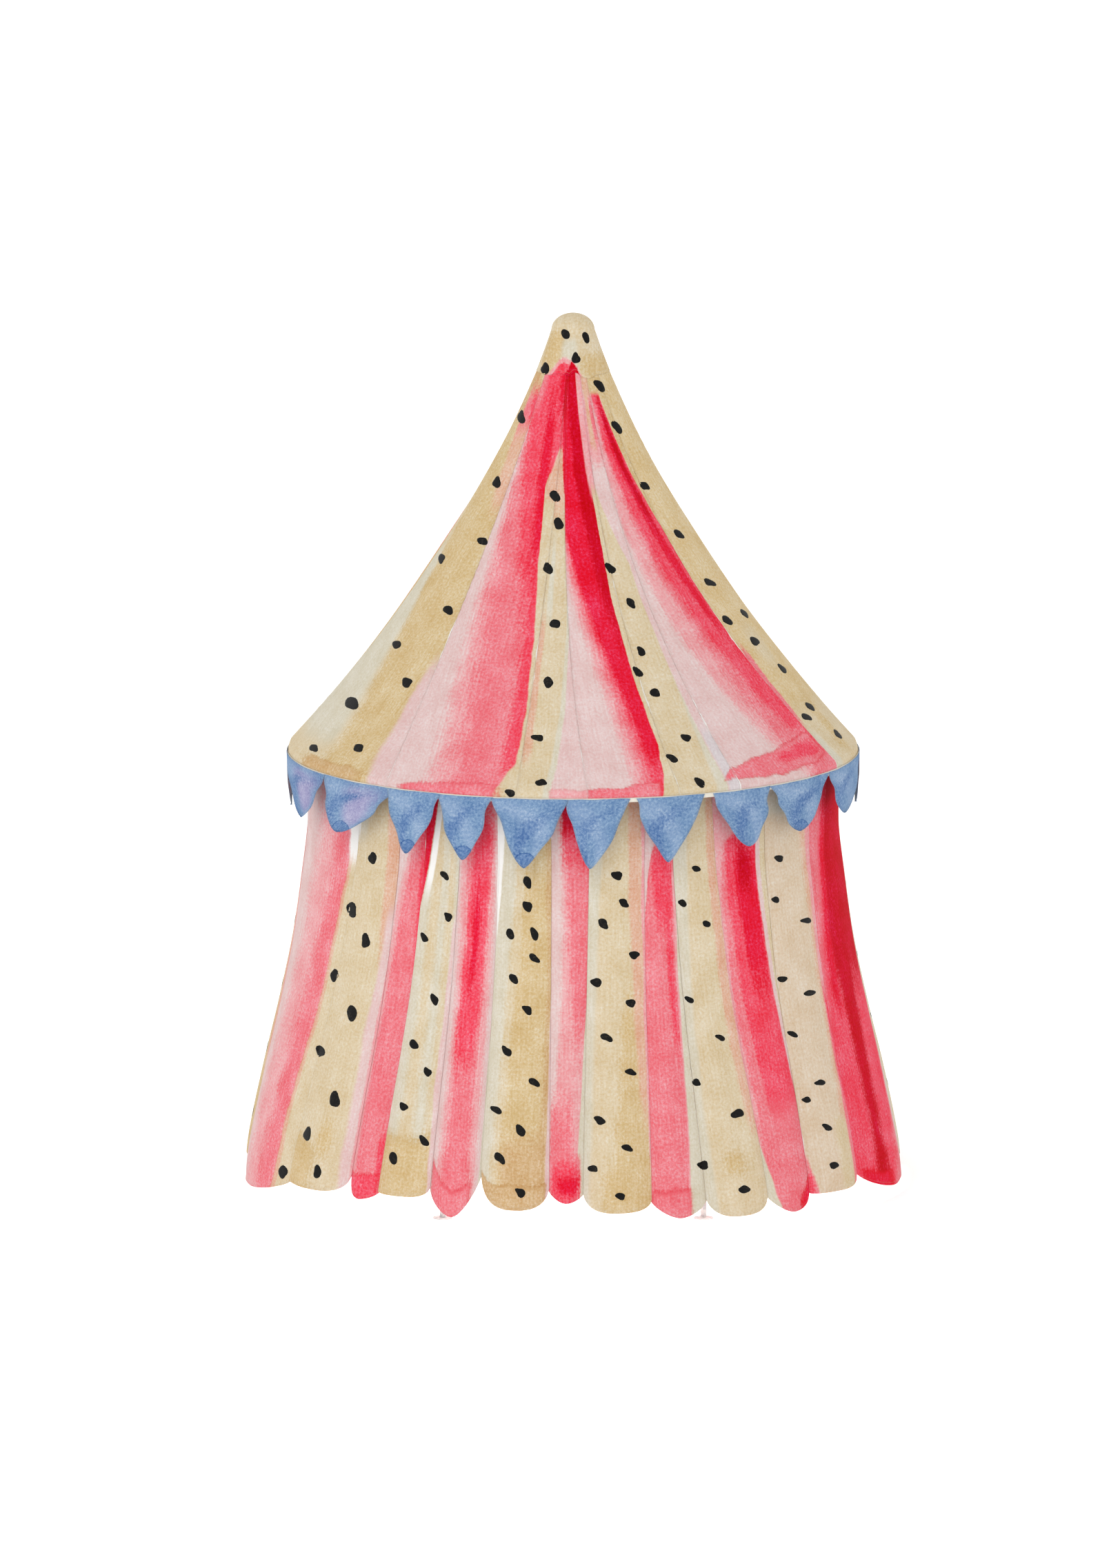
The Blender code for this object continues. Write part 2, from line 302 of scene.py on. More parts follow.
def add_object(name, data):
    made = bpy.data.objects.new(name, data)
    bpy.context.collection.objects.link(made)
    return made


def sew(name, grid, thickness, closed=False):
    """A piece of cloth over a grid of points, the top row first, with its cut size and its area. Its plans
    are UV maps: share runs from 0 to 1 across and down, metres is the cloth laid flat, and edges is how far
    the side and the hem are."""
    grid = np.array(grid)
    rows, columns = grid.shape[:2]
    across = np.zeros((rows, columns))
    across[:, 1:] = np.cumsum(np.linalg.norm(np.diff(grid, axis=1), axis=2), axis=1)
    down = np.zeros((rows, columns))
    down[1:] = np.cumsum(np.linalg.norm(np.diff(grid, axis=0), axis=2), axis=0)
    width = np.maximum(across[:, -1:], 1e-6)
    length = down[-1:]
    bolt = BOLT_STEP * (len(bpy.data.meshes) % BOLT_PLACES)
    plans = {
        "share": (across / width, down / length),
        "metres": (across - width / 2 + bolt, down),
        "edges": (np.minimum(across, width - across), length - down),
    }
    faces = []
    for i in range(rows - 1):
        for j in range(columns - 1):
            corner = i * columns + j
            faces.append((corner, corner + columns, corner + columns + 1, corner + 1))
    mesh = bpy.data.meshes.new(name)
    mesh.from_pydata(grid.reshape(-1, 3).tolist(), [], faces)
    corners = np.empty(len(mesh.loops), dtype=np.int64)
    mesh.loops.foreach_get("vertex_index", corners)
    for title, (x, y) in plans.items():
        layer = mesh.uv_layers.new(name=title)
        pairs = np.stack([x, y], axis=2).reshape(-1, 2)[corners]
        layer.uv.foreach_set("vector", pairs.astype(np.float32).ravel())
    if closed:
        work = bmesh.new()
        work.from_mesh(mesh)
        bmesh.ops.remove_doubles(work, verts=work.verts, dist=WELD)
        work.to_mesh(mesh)
        work.free()
    mesh.shade_smooth()
    piece = add_object(name, mesh)
    solid = piece.modifiers.new("Thickness", "SOLIDIFY")
    solid.thickness = thickness
    solid.offset = -1.0
    level = np.linalg.norm(np.diff(grid[:, :, :2], axis=1), axis=2).sum(axis=1)
    cut = (float(level.max()), float(length[0, columns // 2]))
    first = np.cross(grid[1:, 1:] - grid[:-1, :-1], grid[1:, :-1] - grid[:-1, 1:])
    area = float(np.linalg.norm(first, axis=2).sum() / 2)
    return piece, cut, area


def fit(piece, slot, *nodes):
    """Fixes a piece to the tent's one body, in place of the nodes it stands for."""
    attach(piece, "root")
    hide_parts(*nodes)


def stroke_edge(stations, place):
    """An edge that runs through one, two or three stations along its length."""
    if isinstance(stations, (int, float)):
        return stations
    if len(stations) == 2:
        return place * (stations[1] - stations[0]) + stations[0]
    start, middle, end = stations
    return place * (place * (2 * start + 2 * end - 4 * middle) + (4 * middle - 3 * start - end)) + start


def stroke_mask(stroke, across, down):
    """Where a brush stroke lies, soft along its sides and at its ends."""
    sides = [
        (across, stroke.left, down, stroke.soft, 1),
        (across, stroke.right, down, stroke.soft, -1),
        (down, stroke.top, across, stroke.fade, 1),
        (down, stroke.bottom, across, stroke.fade, -1),
    ]
    mask = None
    for position, stations, along, soft, way in sides:
        if stations is None:
            continue
        reach = position - stroke_edge(stations, along)
        side = reach.step(-soft, soft) if way == 1 else 1.0 - reach.step(-soft, soft)
        mask = side if mask is None else mask * side
    return mask


def along_thread(place):
    """The stitches of a row of sewing, on and off along it."""
    return (place * (math.tau / STITCH)).sine().step(-0.4, 0.0)


def washed_canvas(name, ground, strokes, wobble=0.05, sliver=-0.006, streak=0.6, filled=0.0):
    """Cotton canvas painted by hand: washes over a ground colour, dark where a wash dried at its edge,
    streaked by the brush, grainy, and bare in slivers along the seams, or where filled is 1, only low
    down."""
    material, shader = new_finish(name, Sheen_Weight=0.015, Sheen_Roughness=0.6, Specular_IOR_Level=0.05)
    share = shader.node("ShaderNodeUVMap", {"uv_map": "share"}, {})
    metres = shader.node("ShaderNodeUVMap", {"uv_map": "metres"}, {})
    edges = shader.node("ShaderNodeUVMap", {"uv_map": "edges"}, {})
    wander = metres.mottle(1.6, 3.0) * (2 * wobble) + metres.mottle(26.0, 3.0) * (0.4 * wobble)
    across = share.part("X") + wander
    down = share.part("Y") + metres.mottle(5.0, 3.0) * 0.026
    hairs = metres.mottle(1.0, 3.0, (60.0, 3.0, 1.0))
    blooms = metres.mottle(4.5, 4.0)
    grain = metres.mottle(46.0, 4.0)
    fine = metres.mottle(110.0, 2.0)
    colour = ground
    gaps = []
    density = 1.0 + hairs * streak + blooms * 0.8 + grain * 1.5 + fine * 0.9
    for stroke in strokes:
        mask = stroke_mask(stroke, across, down)
        rough = (hairs * 0.7 + blooms * 0.5 + grain * 0.8) * (mask * (1.0 - mask) * 4.0)
        mask = (mask + rough).step(0.0, 1.0)
        if stroke.colour == UNPAINTED:
            gaps.append(mask)
            continue
        colour = mask.mix(colour, stroke.colour)
        if stroke.wet:
            density = density + mask * (1.0 - mask) * (2.0 * stroke.wet)
    colour = colour.power(density) * (grain * 0.16 + fine * 0.16 + PAINT_DEPTH)
    seam = edges.part("X")
    hem = edges.part("Y")
    cover = (1.0 - share.part("Y").step(0.25, 0.60)) * filled
    bare = metres.mottle(2.2, 3.0) * 0.10 + sliver - cover * 0.03
    gaps.append(1.0 - (seam - bare).step(-0.004, 0.004))
    for gap in gaps:
        colour = gap.mix(colour, UNPAINTED)
    side_row = (1.0 - (seam - 0.5 * SEAM_WIDTH).size().step(0.0008, 0.0016)) * along_thread(metres.part("Y"))
    hem_row = (1.0 - (hem - 0.8 * HEM_WIDTH).size().step(0.0008, 0.0016)) * along_thread(metres.part("X"))
    stitches = side_row + hem_row
    colour = (stitches * (0.5 - cover * 0.4)).mix(colour, THREAD)
    turns = math.tau / THREAD_PITCH
    weave = (metres.part("X") * turns).sine() * (metres.part("Y") * turns).sine()
    relief = grain * 1.6 + fine * 1.1 + weave * 0.12 + stitches * 0.8 + blooms * 0.8
    shader.feed({"Base Color": colour, "Roughness": grain * 0.2 + 0.86, "Normal": relief.bump(0.0034, 0.7)})
    return material


def gore_place(start, end, t):
    """The middle angle of a gore and half the angle it spans, at a height on the roof."""
    share = min(t, 1.0)
    first = between(share, start[0], start[1])
    last = between(share, end[0], end[1])
    return (first + last) / 2, (last - first) / 2


def gore_point(start, end, side, t, radius, z):
    """A point on a gore, with side from -1 to 1 across it. The gore swells between its seams, puckers along
    its stitching and creases softly down its slope, but lies flat over the crown and from the hoop down."""
    middle, half = gore_place(start, end, t)
    span = (t - CROWN_SEAT) / (HOOP_SEAT - CROWN_SEAT)
    swell = math.sin(math.pi * span) if 0 < span < 1 else 0.0
    width = radius * math.radians(half)
    edge = width * (1 - abs(side))
    lift = min(GORE_BULGE, 0.12 * width) * swell * (1 - side * side)
    angle = middle + side * half
    spot = Vector((math.radians(angle) * 3.2, z * 0.9, 4.0))
    lift += GORE_CREASE * swell * noise.noise(spot) * min(1.0, edge / 0.10)
    pucker = PUCKER * math.sin(math.tau * z / PUCKER_PITCH + middle) * math.exp(-edge / 0.05)
    lift += pucker * min(1.0, span * 6) if 0 < span < 1 else 0.0
    if edge < SEAM_WIDTH:
        lift += SEAM_LIFT * min(1.0, max(0.0, (t - CAP_REACH) / 0.03), width / 0.03)
    return polar(angle, radius + lift, z)


roof_rows = marks(roof_z(ROOF_START) - roof_z(1.0), ROOF_ROWS, 0.0, 0.0)
roof_stations = [(t, roof_radius(t), roof_z(t)) for t in [between(row, ROOF_START, 1.0) for row in roof_rows]]
roof_stations += [(1.0, radius, z) for radius, z in EAVE_LIP]

# Each gore's washes, from its ground colour up. Those that deepen a gore towards its right side are partly
# painted shade. The stations of a stroke's left and right run down from the crown, and those of its top and
# bottom run from left to right.
LEFT_CREAM = [
    Stroke(CREAM_PALE, right=(0.30, 0.50, 0.56), top=0.46, bottom=0.93, fade=0.04),
    Stroke(TAN, left=(-0.30, 0.42, 0.60), right=(1.20, 1.05, 0.92), soft=0.07, wet=0.15),
    Stroke(TAN_DARK, left=-0.2, right=0.75, bottom=0.14, soft=0.1, fade=0.05),
    Stroke(ROSE, left=(0.42, 1.1, 2.0), top=0.085, bottom=0.21, soft=0.10, fade=0.04),
    Stroke(RED, left=(0.68, 1.5, 2.4), top=0.09, bottom=0.16, fade=0.03),
    Stroke(PEACH, left=(0.5, 1.0, 1.5), top=0.17, bottom=0.34, fade=0.05),
    Stroke(PINK_PALE, left=(1.30, 1.02, 0.90), top=0.70, soft=0.03),
    Stroke(TAN_DARK, top=0.965, left=0.45, right=0.85, fade=0.008, wet=0.5),
]
RED_GORE = [
    Stroke(PINK, left=(-0.10, 0.21, 0.33), soft=0.14),
    Stroke(ROSE, left=(-0.20, 0.32, 0.48), soft=0.20),
    Stroke(RED, left=(-0.40, 0.70, 0.93), bottom=0.95, soft=0.19),
    Stroke(ROSE, right=0.22, bottom=0.12, soft=0.14, fade=0.04),
    Stroke(
        CRIMSON, left=(0.38, 0.78, 0.85), right=(0.70, 0.93, 0.97),
        top=0.10, bottom=0.47, soft=0.09, fade=0.10,
    ),
    Stroke(RED, left=0.86, top=0.48, bottom=0.93, soft=0.06),
    Stroke(CRIMSON, left=0.80, bottom=0.13, soft=0.14, fade=0.05),
    Stroke(CREAM, left=(0.58, 0.90, 0.97), top=(0.635, 0.417, 0.20), soft=0.012, fade=0.015),
    Stroke(PEACH, left=(0.60, 0.92, 0.99), top=(0.635, 0.417, 0.20), bottom=0.31, soft=0.012, fade=0.02),
    Stroke(CREAM, top=(1.40, 1.15, 0.90), fade=0.010),
    Stroke(ROSE, left=0.12, right=0.85, top=(0.988, 0.968, 0.960), fade=0.006, wet=0.6),
]
CREAM_POINT = [
    Stroke(CREAM_PALE, left=0.15, right=0.40, top=0.40, bottom=0.58, fade=0.05),
    Stroke(CREAM_PALE, left=(1.50, 1.02, 0.34), top=0.52, soft=0.03),
    Stroke(PINK_PALE, left=(1.60, 1.12, 0.44), top=0.55, soft=0.03),
    Stroke(PEACH, right=0.16, top=0.58, bottom=0.90, soft=0.05, fade=0.05),
    Stroke(PEACH, bottom=0.34, fade=0.05),
    Stroke(RED, bottom=0.205, fade=0.012),
    Stroke(CRIMSON, left=(-0.33, 1.75, 3.83), bottom=0.32, soft=0.15, fade=0.02),
    Stroke(CRIMSON_DEEP, bottom=0.13, fade=0.03),
    Stroke(PINK, left=0.48, top=0.972, fade=0.006, wet=0.4),
]
SLIM_RED = [
    Stroke(PINK, left=(-1.50, 0.06, 0.50), soft=0.10),
    Stroke(ROSE, left=(-1.45, 0.15, 0.60)),
    Stroke(RED, left=(-1.40, 0.22, 0.70), soft=0.07),
    Stroke(CRIMSON, left=(-1.40, 0.27, 0.76), right=0.98, bottom=0.92, soft=0.07),
    Stroke(
        CRIMSON_DEEP, left=(-0.10, 0.66, 0.95), right=(0.60, 1.0, 0.95),
        bottom=0.60, soft=0.10, fade=0.12,
    ),
    Stroke(PINK, left=(0.58, 1.0, 1.6), bottom=0.30, soft=0.05, fade=0.04),
    Stroke(CREAM, left=(0.90, 0.88, 0.97), top=0.29, soft=0.015, fade=0.03),
    Stroke(CREAM, top=(1.74, 1.28, 0.815), fade=0.010),
    Stroke(ROSE, right=0.80, top=(0.972, 0.966, 0.955), soft=0.05, fade=0.006, wet=0.8),
]
SPLIT_CREAM = [
    Stroke(PINK_PALE, left=(-1.40, 1.0, 3.0), top=0.18, bottom=0.60, soft=0.06, fade=0.04),
    Stroke(CREAM_PALE, left=(1.30, 0.95, 0.60), top=0.55, soft=0.05),
    Stroke(PINK_PALE, left=0.80, top=0.40, soft=0.04, fade=0.05),
    Stroke(PINK, bottom=0.235, fade=0.03),
    Stroke(PEACH, left=0.2, right=0.7, bottom=0.20, soft=0.1, fade=0.04),
    Stroke(ROSE, left=0.62, top=0.09, bottom=0.19, fade=0.03),
    Stroke(PEACH, bottom=0.09, fade=0.02),
    Stroke(LAVENDER_PINK, left=0.82, top=0.84, soft=0.04, fade=0.04),
    Stroke(ROSE, top=(1.068, 1.002, 0.938), bottom=0.966, fade=0.006, wet=0.6),
]
WIDE_RED = [
    Stroke(PINK, left=(-0.15, 0.12, 0.62), soft=0.10),
    Stroke(ROSE, left=(-0.02, 0.36, 0.68), soft=0.12),
    Stroke(RED, left=(0.00, 0.48, 0.90), bottom=0.90, soft=0.10),
    Stroke(
        CRIMSON, left=(0.05, 0.72, 0.92), right=(0.50, 0.92, 0.95),
        top=0.10, bottom=0.66, soft=0.07, fade=0.12,
    ),
    Stroke(CRIMSON_DEEP, left=(0.15, 0.82, 1.1), right=(0.40, 0.92, 1.1), top=0.10, bottom=0.38, soft=0.05),
    Stroke(TAN, left=(0.40, 1.08, 1.2), bottom=0.50, soft=0.02),
    Stroke(
        ROSE, right=0.97,
        top=(0.940, 0.914, 0.895), bottom=(0.968, 0.970, 0.952), soft=0.03, fade=0.006, wet=0.9,
    ),
    Stroke(RED, left=0.45, right=0.94, top=(0.95, 0.925, 0.905), bottom=0.946, soft=0.12, fade=0.010),
    Stroke(TAN, bottom=0.088, fade=0.012),
]
RIGHT_CREAM = [
    Stroke(CREAM, left=0.2, right=0.45, top=0.64, bottom=0.74, soft=0.1, fade=0.04),
    Stroke(CREAM, top=0.85),
    Stroke(TAN, left=0.32, right=0.52, top=0.82, bottom=0.97, fade=0.05),
    Stroke(ROSE, right=0.06, top=0.68, bottom=0.87, soft=0.02, fade=0.03),
    Stroke(CREAM_PALE, right=0.12, top=0.90, soft=0.04, fade=0.04),
]
GORE_PLANS = [
    (CREAM, LEFT_CREAM),
    (PINK_PALE, RED_GORE),
    (CREAM, CREAM_POINT),
    (PINK_PALE, SLIM_RED),
    (CREAM, SPLIT_CREAM),
    (PINK_PALE, WIDE_RED),
    (TAN_LIT, RIGHT_CREAM),
    (PINK_PALE, RED_GORE + [Stroke(TAN_LIT, right=0.14, soft=0.015)]),
    (CREAM, LEFT_CREAM),
    (PINK_PALE, WIDE_RED),
    (CREAM, LEFT_CREAM),
    (PINK_PALE, RED_GORE + [Stroke(TAN, left=0.87, soft=0.015)]),
]

for number, (start, end) in enumerate(zip(ROOF_SEAMS, ROOF_SEAMS[1:]), 1):
    colour_name = "red" if number % 2 == 0 else "cream"
    widest = EAVE_RADIUS * math.radians(end[1] - start[1])
    steps = max(8, round(widest / ROOF_PITCH))
    grid = []
    for t, radius, z in roof_stations:
        width = 2 * radius * math.radians(gore_place(start, end, t)[1])
        sides = [2 * place - 1 for place in marks(width, steps, SEAM_WIDTH, SEAM_WIDTH)]
        grid.append([gore_point(start, end, side, t, radius, z) for side in sides])
    gore, cut, area = sew(f"{colour_name}_gore_{number:02d}", grid, ROOF_CLOTH)
    ground, strokes = GORE_PLANS[number - 1]
    wash = washed_canvas(f"{colour_name}_gore_wash_{number:02d}", ground, strokes, filled=1.0)
    gore.data.materials.append(wash)
    fit(gore, f"{colour_name}_canvas", f"roof_gore_{number:02d}_{colour_name}")


# Peak cap: a hood of the same cream canvas, blocked over the crown's dome while wet and hemmed at its rim. It
# keeps rain out of the gores' upper ends.
CAP_TOP_Z = 7.0
CAP_RIM_Z = 6.55
CAP_EASE = 0.003
CAP_RIM_EASE = 0.0004
CAP_COLUMNS = 120
CAP_ROWS = 30
CAP_LENGTH = 0.62
CAP_HEM = 0.022
CAP_DENT = 0.004

# The rim is cut higher over the tips of two red gores in front and lower over a third: their angle, half
# width and rise
RIM_ARCHES = [(-22, 16, 0.018), (3, 9, 0.030), (26, 12, -0.02)]


def cap_rim_z(angle):
    rise = -0.012
    for middle, half, height in RIM_ARCHES:
        rise += height * max(0.0, 1 - ((angle - middle) / half) ** 2)
    return CAP_RIM_Z + rise


def cap_radius_z(share, angle):
    """The cap's outside, as its radius and height, from its top at 0 to its rim at 1."""
    shoulder = ROOF_TOP_RADIUS + CAP_EASE + CANVAS
    if share < 0.5:
        turn = math.radians(180 * share)
        return shoulder * math.sin(turn), ROOF_TOP_Z + (CAP_TOP_Z - ROOF_TOP_Z) * math.cos(turn)
    part = (share - 0.5) / 0.5
    z = between(part, ROOF_TOP_Z, cap_rim_z(angle))
    return roof_radius(roof_t(z)) + between(part, CAP_EASE, CAP_RIM_EASE) + CANVAS, z


def cap_point(share, angle):
    radius, z = cap_radius_z(share, angle)
    if share > 0:
        dent = max(0.0, noise.noise(Vector(polar(angle, 1.4, z * 6)))) * CAP_DENT
        radius += dent * min(1.0, share * 3, (1 - share) * 4)
    return polar(angle, max(radius, 0.0), z)


grid = []
for share in marks(CAP_LENGTH, CAP_ROWS, 0.0, CAP_HEM):
    grid.append([cap_point(share, 360 * column / CAP_COLUMNS - 180) for column in range(CAP_COLUMNS + 1)])
cap, cut, area = sew("peak_hood", grid, ROOF_CLOTH, closed=True)
CAP_STROKES = [
    Stroke(TAN, left=0.30, right=0.43, top=0.40, soft=0.03, fade=0.10, wet=0.3),
    Stroke(CREAM_PALE, left=0.43, right=0.52, top=0.5, soft=0.03, fade=0.1),
    Stroke(TAN, left=0.55, right=0.78, top=0.70, soft=0.06, fade=0.15),
    Stroke(PINK, left=(0.68, 0.52, 0.365), right=(0.26, 0.40, 0.545), top=0.76, soft=0.016, fade=0.04),
    Stroke(RED, left=(0.66, 0.53, 0.392), right=0.50, top=0.84, soft=0.010, fade=0.03),
    Stroke(
        CRIMSON_DEEP, left=(0.64, 0.546, 0.452), right=(0.30, 0.415, 0.531),
        top=0.80, soft=0.006, fade=0.03,
    ),
]
cap.data.materials.append(washed_canvas("peak_hood_wash", CREAM, CAP_STROKES, wobble=0.01, sliver=-0.06))
fit(cap, "cream_canvas", "peak_cap")


# Eave pennants: 22 blue canvas pennants, each cut and painted by itself, so that no two are the same. They
# are sewn to an off-white cotton tape, and the tape to the roof's lip.
TAPE_TOP_Z = 3.474
TAPE_DROP = 0.036
TAPE_RADIUS = 2.2730
TAPE_THICKNESS = 0.0012
TAPE_COLUMNS = 120
PENNANT_RADIUS = 2.2765
PENNANT_TOP_Z = 3.468
PENNANT_CANVAS = 0.0016
PENNANT_ROWS = 26
PENNANT_COLUMNS = 12
BLUE = srgb(124, 155, 192)
BLUE_DEEP = srgb(104, 136, 182)
BLUE_PALE = srgb(144, 170, 203)
LAVENDER = srgb(168, 166, 202)

# Each front pennant: its left and right end and its tip, in degrees, and the height and half the width of
# its tip
FRONT_PENNANTS = [
    (-90, -60, -70.5, 3.06, 0.09),
    (-60.5, -38, -54.5, 3.04, 0.12),
    (-40.5, -27.5, -35.5, 2.96, 0.052),
    (-28.6, -16.2, -22.7, 2.95, 0.048),
    (-16.6, -0.8, -9.9, 2.91, 0.045),
    (-1.4, 11.6, 3.4, 2.91, 0.040),
    (12.8, 27.4, 19.4, 2.94, 0.040),
    (29.3, 43.6, 37.8, 3.01, 0.10),
    (43.4, 63.4, 52.6, 3.06, 0.13),
    (63.4, 90, 71.4, 3.09, 0.11),
]
BACK_PENNANT_COUNT = 12
BACK_TIP_Z = 2.98

# Where the first and the last back pennant have their tips, as a share of their width
END_LEANS = {0: 0.72, BACK_PENNANT_COUNT - 1: 0.28}

# The pennants that have a dried pool of paint at their tips, and those with a lavender wash
POOLED = (2, 3, 4, 5, 9, 12, 15, 18, 21)
LAVENDER_WASHED = (1, 2, 13, 19, 22)

grid = []
for z in (TAPE_TOP_Z, TAPE_TOP_Z - TAPE_DROP * 0.5, TAPE_TOP_Z - TAPE_DROP):
    angles = [360 * column / TAPE_COLUMNS - 180 for column in range(TAPE_COLUMNS + 1)]
    grid.append([polar(angle, TAPE_RADIUS, z) for angle in angles])
tape, cut, _ = sew("eave_tape", grid, TAPE_THICKNESS, closed=True)
tape_finish, shader = new_finish("cotton_tape", Sheen_Weight=0.05, Roughness=0.9)
metres = shader.node("ShaderNodeUVMap", {"uv_map": "metres"}, {})
ribs = (metres.part("X") * (math.tau / 0.0035)).sine()
tone = metres.mottle(40.0, 3.0) * 0.14 + metres.mottle(3.0, 2.0) * 0.10 + 1.0
shader.feed({"Base Color": tone * srgb(228, 222, 208), "Normal": (ribs * 0.3).bump(0.0008)})
tape.data.materials.append(tape_finish)
fit(tape, "cream_canvas", "pennant_valance")

back_pitch = 180 / BACK_PENNANT_COUNT
pennants = list(FRONT_PENNANTS)
for number in range(BACK_PENNANT_COUNT):
    left = 90 + back_pitch * number
    draw = random.Random(40 + number)
    lean = END_LEANS.get(number)
    if lean is None:
        lean = 0.5 + draw.uniform(-0.1, 0.1)
    tip_z = BACK_TIP_Z + draw.uniform(-0.06, 0.06)
    blunt = draw.uniform(0.03, 0.08)
    pennants.append((left + 0.3, left + back_pitch - 0.3, left + back_pitch * lean, tip_z, blunt))

for number, (left, right, tip, tip_z, blunt) in enumerate(pennants, 1):
    draw = random.Random(number)
    belly = draw.uniform(-0.02, 0.05)
    curl = draw.uniform(-0.010, 0.014)
    twist = draw.uniform(-0.010, 0.010)
    drop = PENNANT_TOP_Z - tip_z
    half = (right - left) / 2
    front = 0.0022 * (number % 2)
    tip_width = math.degrees(blunt / PENNANT_RADIUS)
    grid = []
    for down in marks(drop, PENNANT_ROWS, 0.010, 0.008):
        slim = (1 - down) ** 0.97 + belly * math.sin(math.pi * down)
        width = max(slim, 0) * (half - tip_width) + tip_width * math.sqrt(max(0.0, 1 - down ** 6))
        centre = between(down ** 0.9, (left + right) / 2, tip)
        uneven = [0.30 * noise.noise(Vector((number * 5.1, edge, down * 2.6))) for edge in (1.7, 8.3)]
        row = []
        for step in range(PENNANT_COLUMNS + 1):
            side = 2 * step / PENNANT_COLUMNS - 1
            wave = 0.004 * noise.noise(Vector((number * 3.1, side * 1.3, down * 2.6))) * down
            fall = down * down
            out = front + curl * fall + twist * side * fall + wave + 0.012 * fall * side * side
            sag = 0.006 * noise.noise(Vector((number, side * 2.0, 7.7))) * (1 - down)
            reach = side * width * (1 + uneven[side > 0] * math.sin(math.pi * down))
            z = between(down, PENNANT_TOP_Z, tip_z) + sag
            row.append(polar(centre + reach, PENNANT_RADIUS + max(out, 0.0), z))
        grid.append(row)
    pennant, cut, area = sew(f"pennant_{number:02d}", grid, PENNANT_CANVAS)
    pennant.modifiers["Thickness"].offset = 1.0
    middle = draw.uniform(0.3, 0.6)
    strokes = [
        Stroke(
            BLUE_PALE, left=(-0.2, middle, 0.9), right=(0.3, middle + 0.4, 1.3),
            top=0.05, soft=0.2, fade=0.2,
        ),
        Stroke(
            BLUE_DEEP, left=(0.9, middle - 0.3, 0.0), right=(1.3, middle, 0.3),
            top=0.2, soft=0.24, fade=0.2,
        ),
        Stroke(BLUE_DEEP, top=(0.84, 0.78, 0.82) if number in POOLED else 1.3, fade=0.02, wet=1.0),
    ]
    if number in LAVENDER_WASHED:
        strokes.insert(1, Stroke(LAVENDER, left=0.4, right=0.9, top=0.1, bottom=0.8, soft=0.2, fade=0.2))
    name = f"pennant_wash_{number:02d}"
    pennant.data.materials.append(washed_canvas(name, BLUE, strokes, wobble=0.14, sliver=-0.06, streak=0.2))
    fit(pennant, "blue_canvas", "pennant_valance")


# Wall drapes: 22 hanging widths of cotton canvas, laced to the hoop behind the pennants and cut to a rounded
# tongue that ends just above the ground. Each cream width laps over the edges of the red ones beside it, and
# both swing out towards the hem in one full fold.
WALL_TOP_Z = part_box("eave_hoop")[0].z / 2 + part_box("eave_hoop")[1].z / 2
HOOP_GAP = 0.0003
DRAPE_EASE = 0.0017
WALL_TOP_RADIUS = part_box("eave_hoop")[1].x + HOOP_GAP + CANVAS + DRAPE_EASE
WALL_OUTLINE = [
    (2.90, 0.000),
    (2.46, 0.045),
    (1.93, 0.115),
    (1.39, 0.222),
    (0.86, 0.342),
    (0.32, 0.447),
    (0.00, 0.478),
]
DRAPE_BULGE = 0.06
DRAPE_RIPPLE = 0.007
DRAPE_CREASE = 0.012
RED_SQUARENESS = 1.7
CREAM_SQUARENESS = 2.8
DRAPE_CANVAS = 0.002
DRAPE_ROWS = 80
DRAPE_PITCH = 0.030
DRAPE_SEAM_LIFT = 0.0012
DRAPE_LOW_Z = 0.15
LAP = 0.012
LAP_LIFT = 0.0032
TONGUE_GAP = 0.28
WALL_SEAMS = [
    (-91.5, -92, 0.25),
    (-52, -62, 0.20),
    (-40, -44, 0.35),
    (-33, -37.5, 0.26),
    (-25, -26.5, 0.34),
    (-16, -17, 0.48),
    (-4.8, -4.2, 0.37),
    (4, 1.5, 0.34),
    (16, 14, 0.27),
    (21.5, 24.5, 0.25),
    (31, 37.5, 0.23),
    (46, 47, 0.20),
    (63, 61.5, 0.27),
    (92, 92, 0.25),
    (110, 110, 0.27),
    (132, 132, 0.26),
    (150, 150, 0.28),
    (171, 171, 0.26),
    (189, 189, 0.28),
    (210, 210, 0.26),
    (228, 228, 0.27),
    (250, 250, 0.26),
    (268.5, 268, 0.25),
]
TONGUE_TIPS = [
    0.06, 0.20, 0.19, 0.25, 0.12, 0.20, 0.26, 0.18, 0.12, 0.10, 0.08, 0.18, 0.07,
    0.15, 0.09, 0.16, 0.08, 0.14, 0.09, 0.16, 0.08, 0.15,
]


def wall_radius(z):
    """The wall's radius at the seams, on a smooth line through its outline."""
    points = [(WALL_TOP_Z, 0.0)] + WALL_OUTLINE
    if z >= points[1][0]:
        return WALL_TOP_RADIUS
    for index in range(1, len(points) - 1):
        (high, high_out), (low, low_out) = points[index], points[index + 1]
        if z >= low or index == len(points) - 2:
            before = points[index - 1]
            after = points[min(index + 2, len(points) - 1)]
            part = (high - z) / (high - low)
            high_slope = (low_out - before[1]) / (before[0] - low) * (high - low)
            low_slope = (after[1] - high_out) / (high - after[0]) * (high - low)
            cubic = part * part * (3 - 2 * part)
            out = between(cubic, high_out, low_out)
            out += high_slope * part * (1 - part) ** 2 - low_slope * part * part * (1 - part)
            return WALL_TOP_RADIUS + out


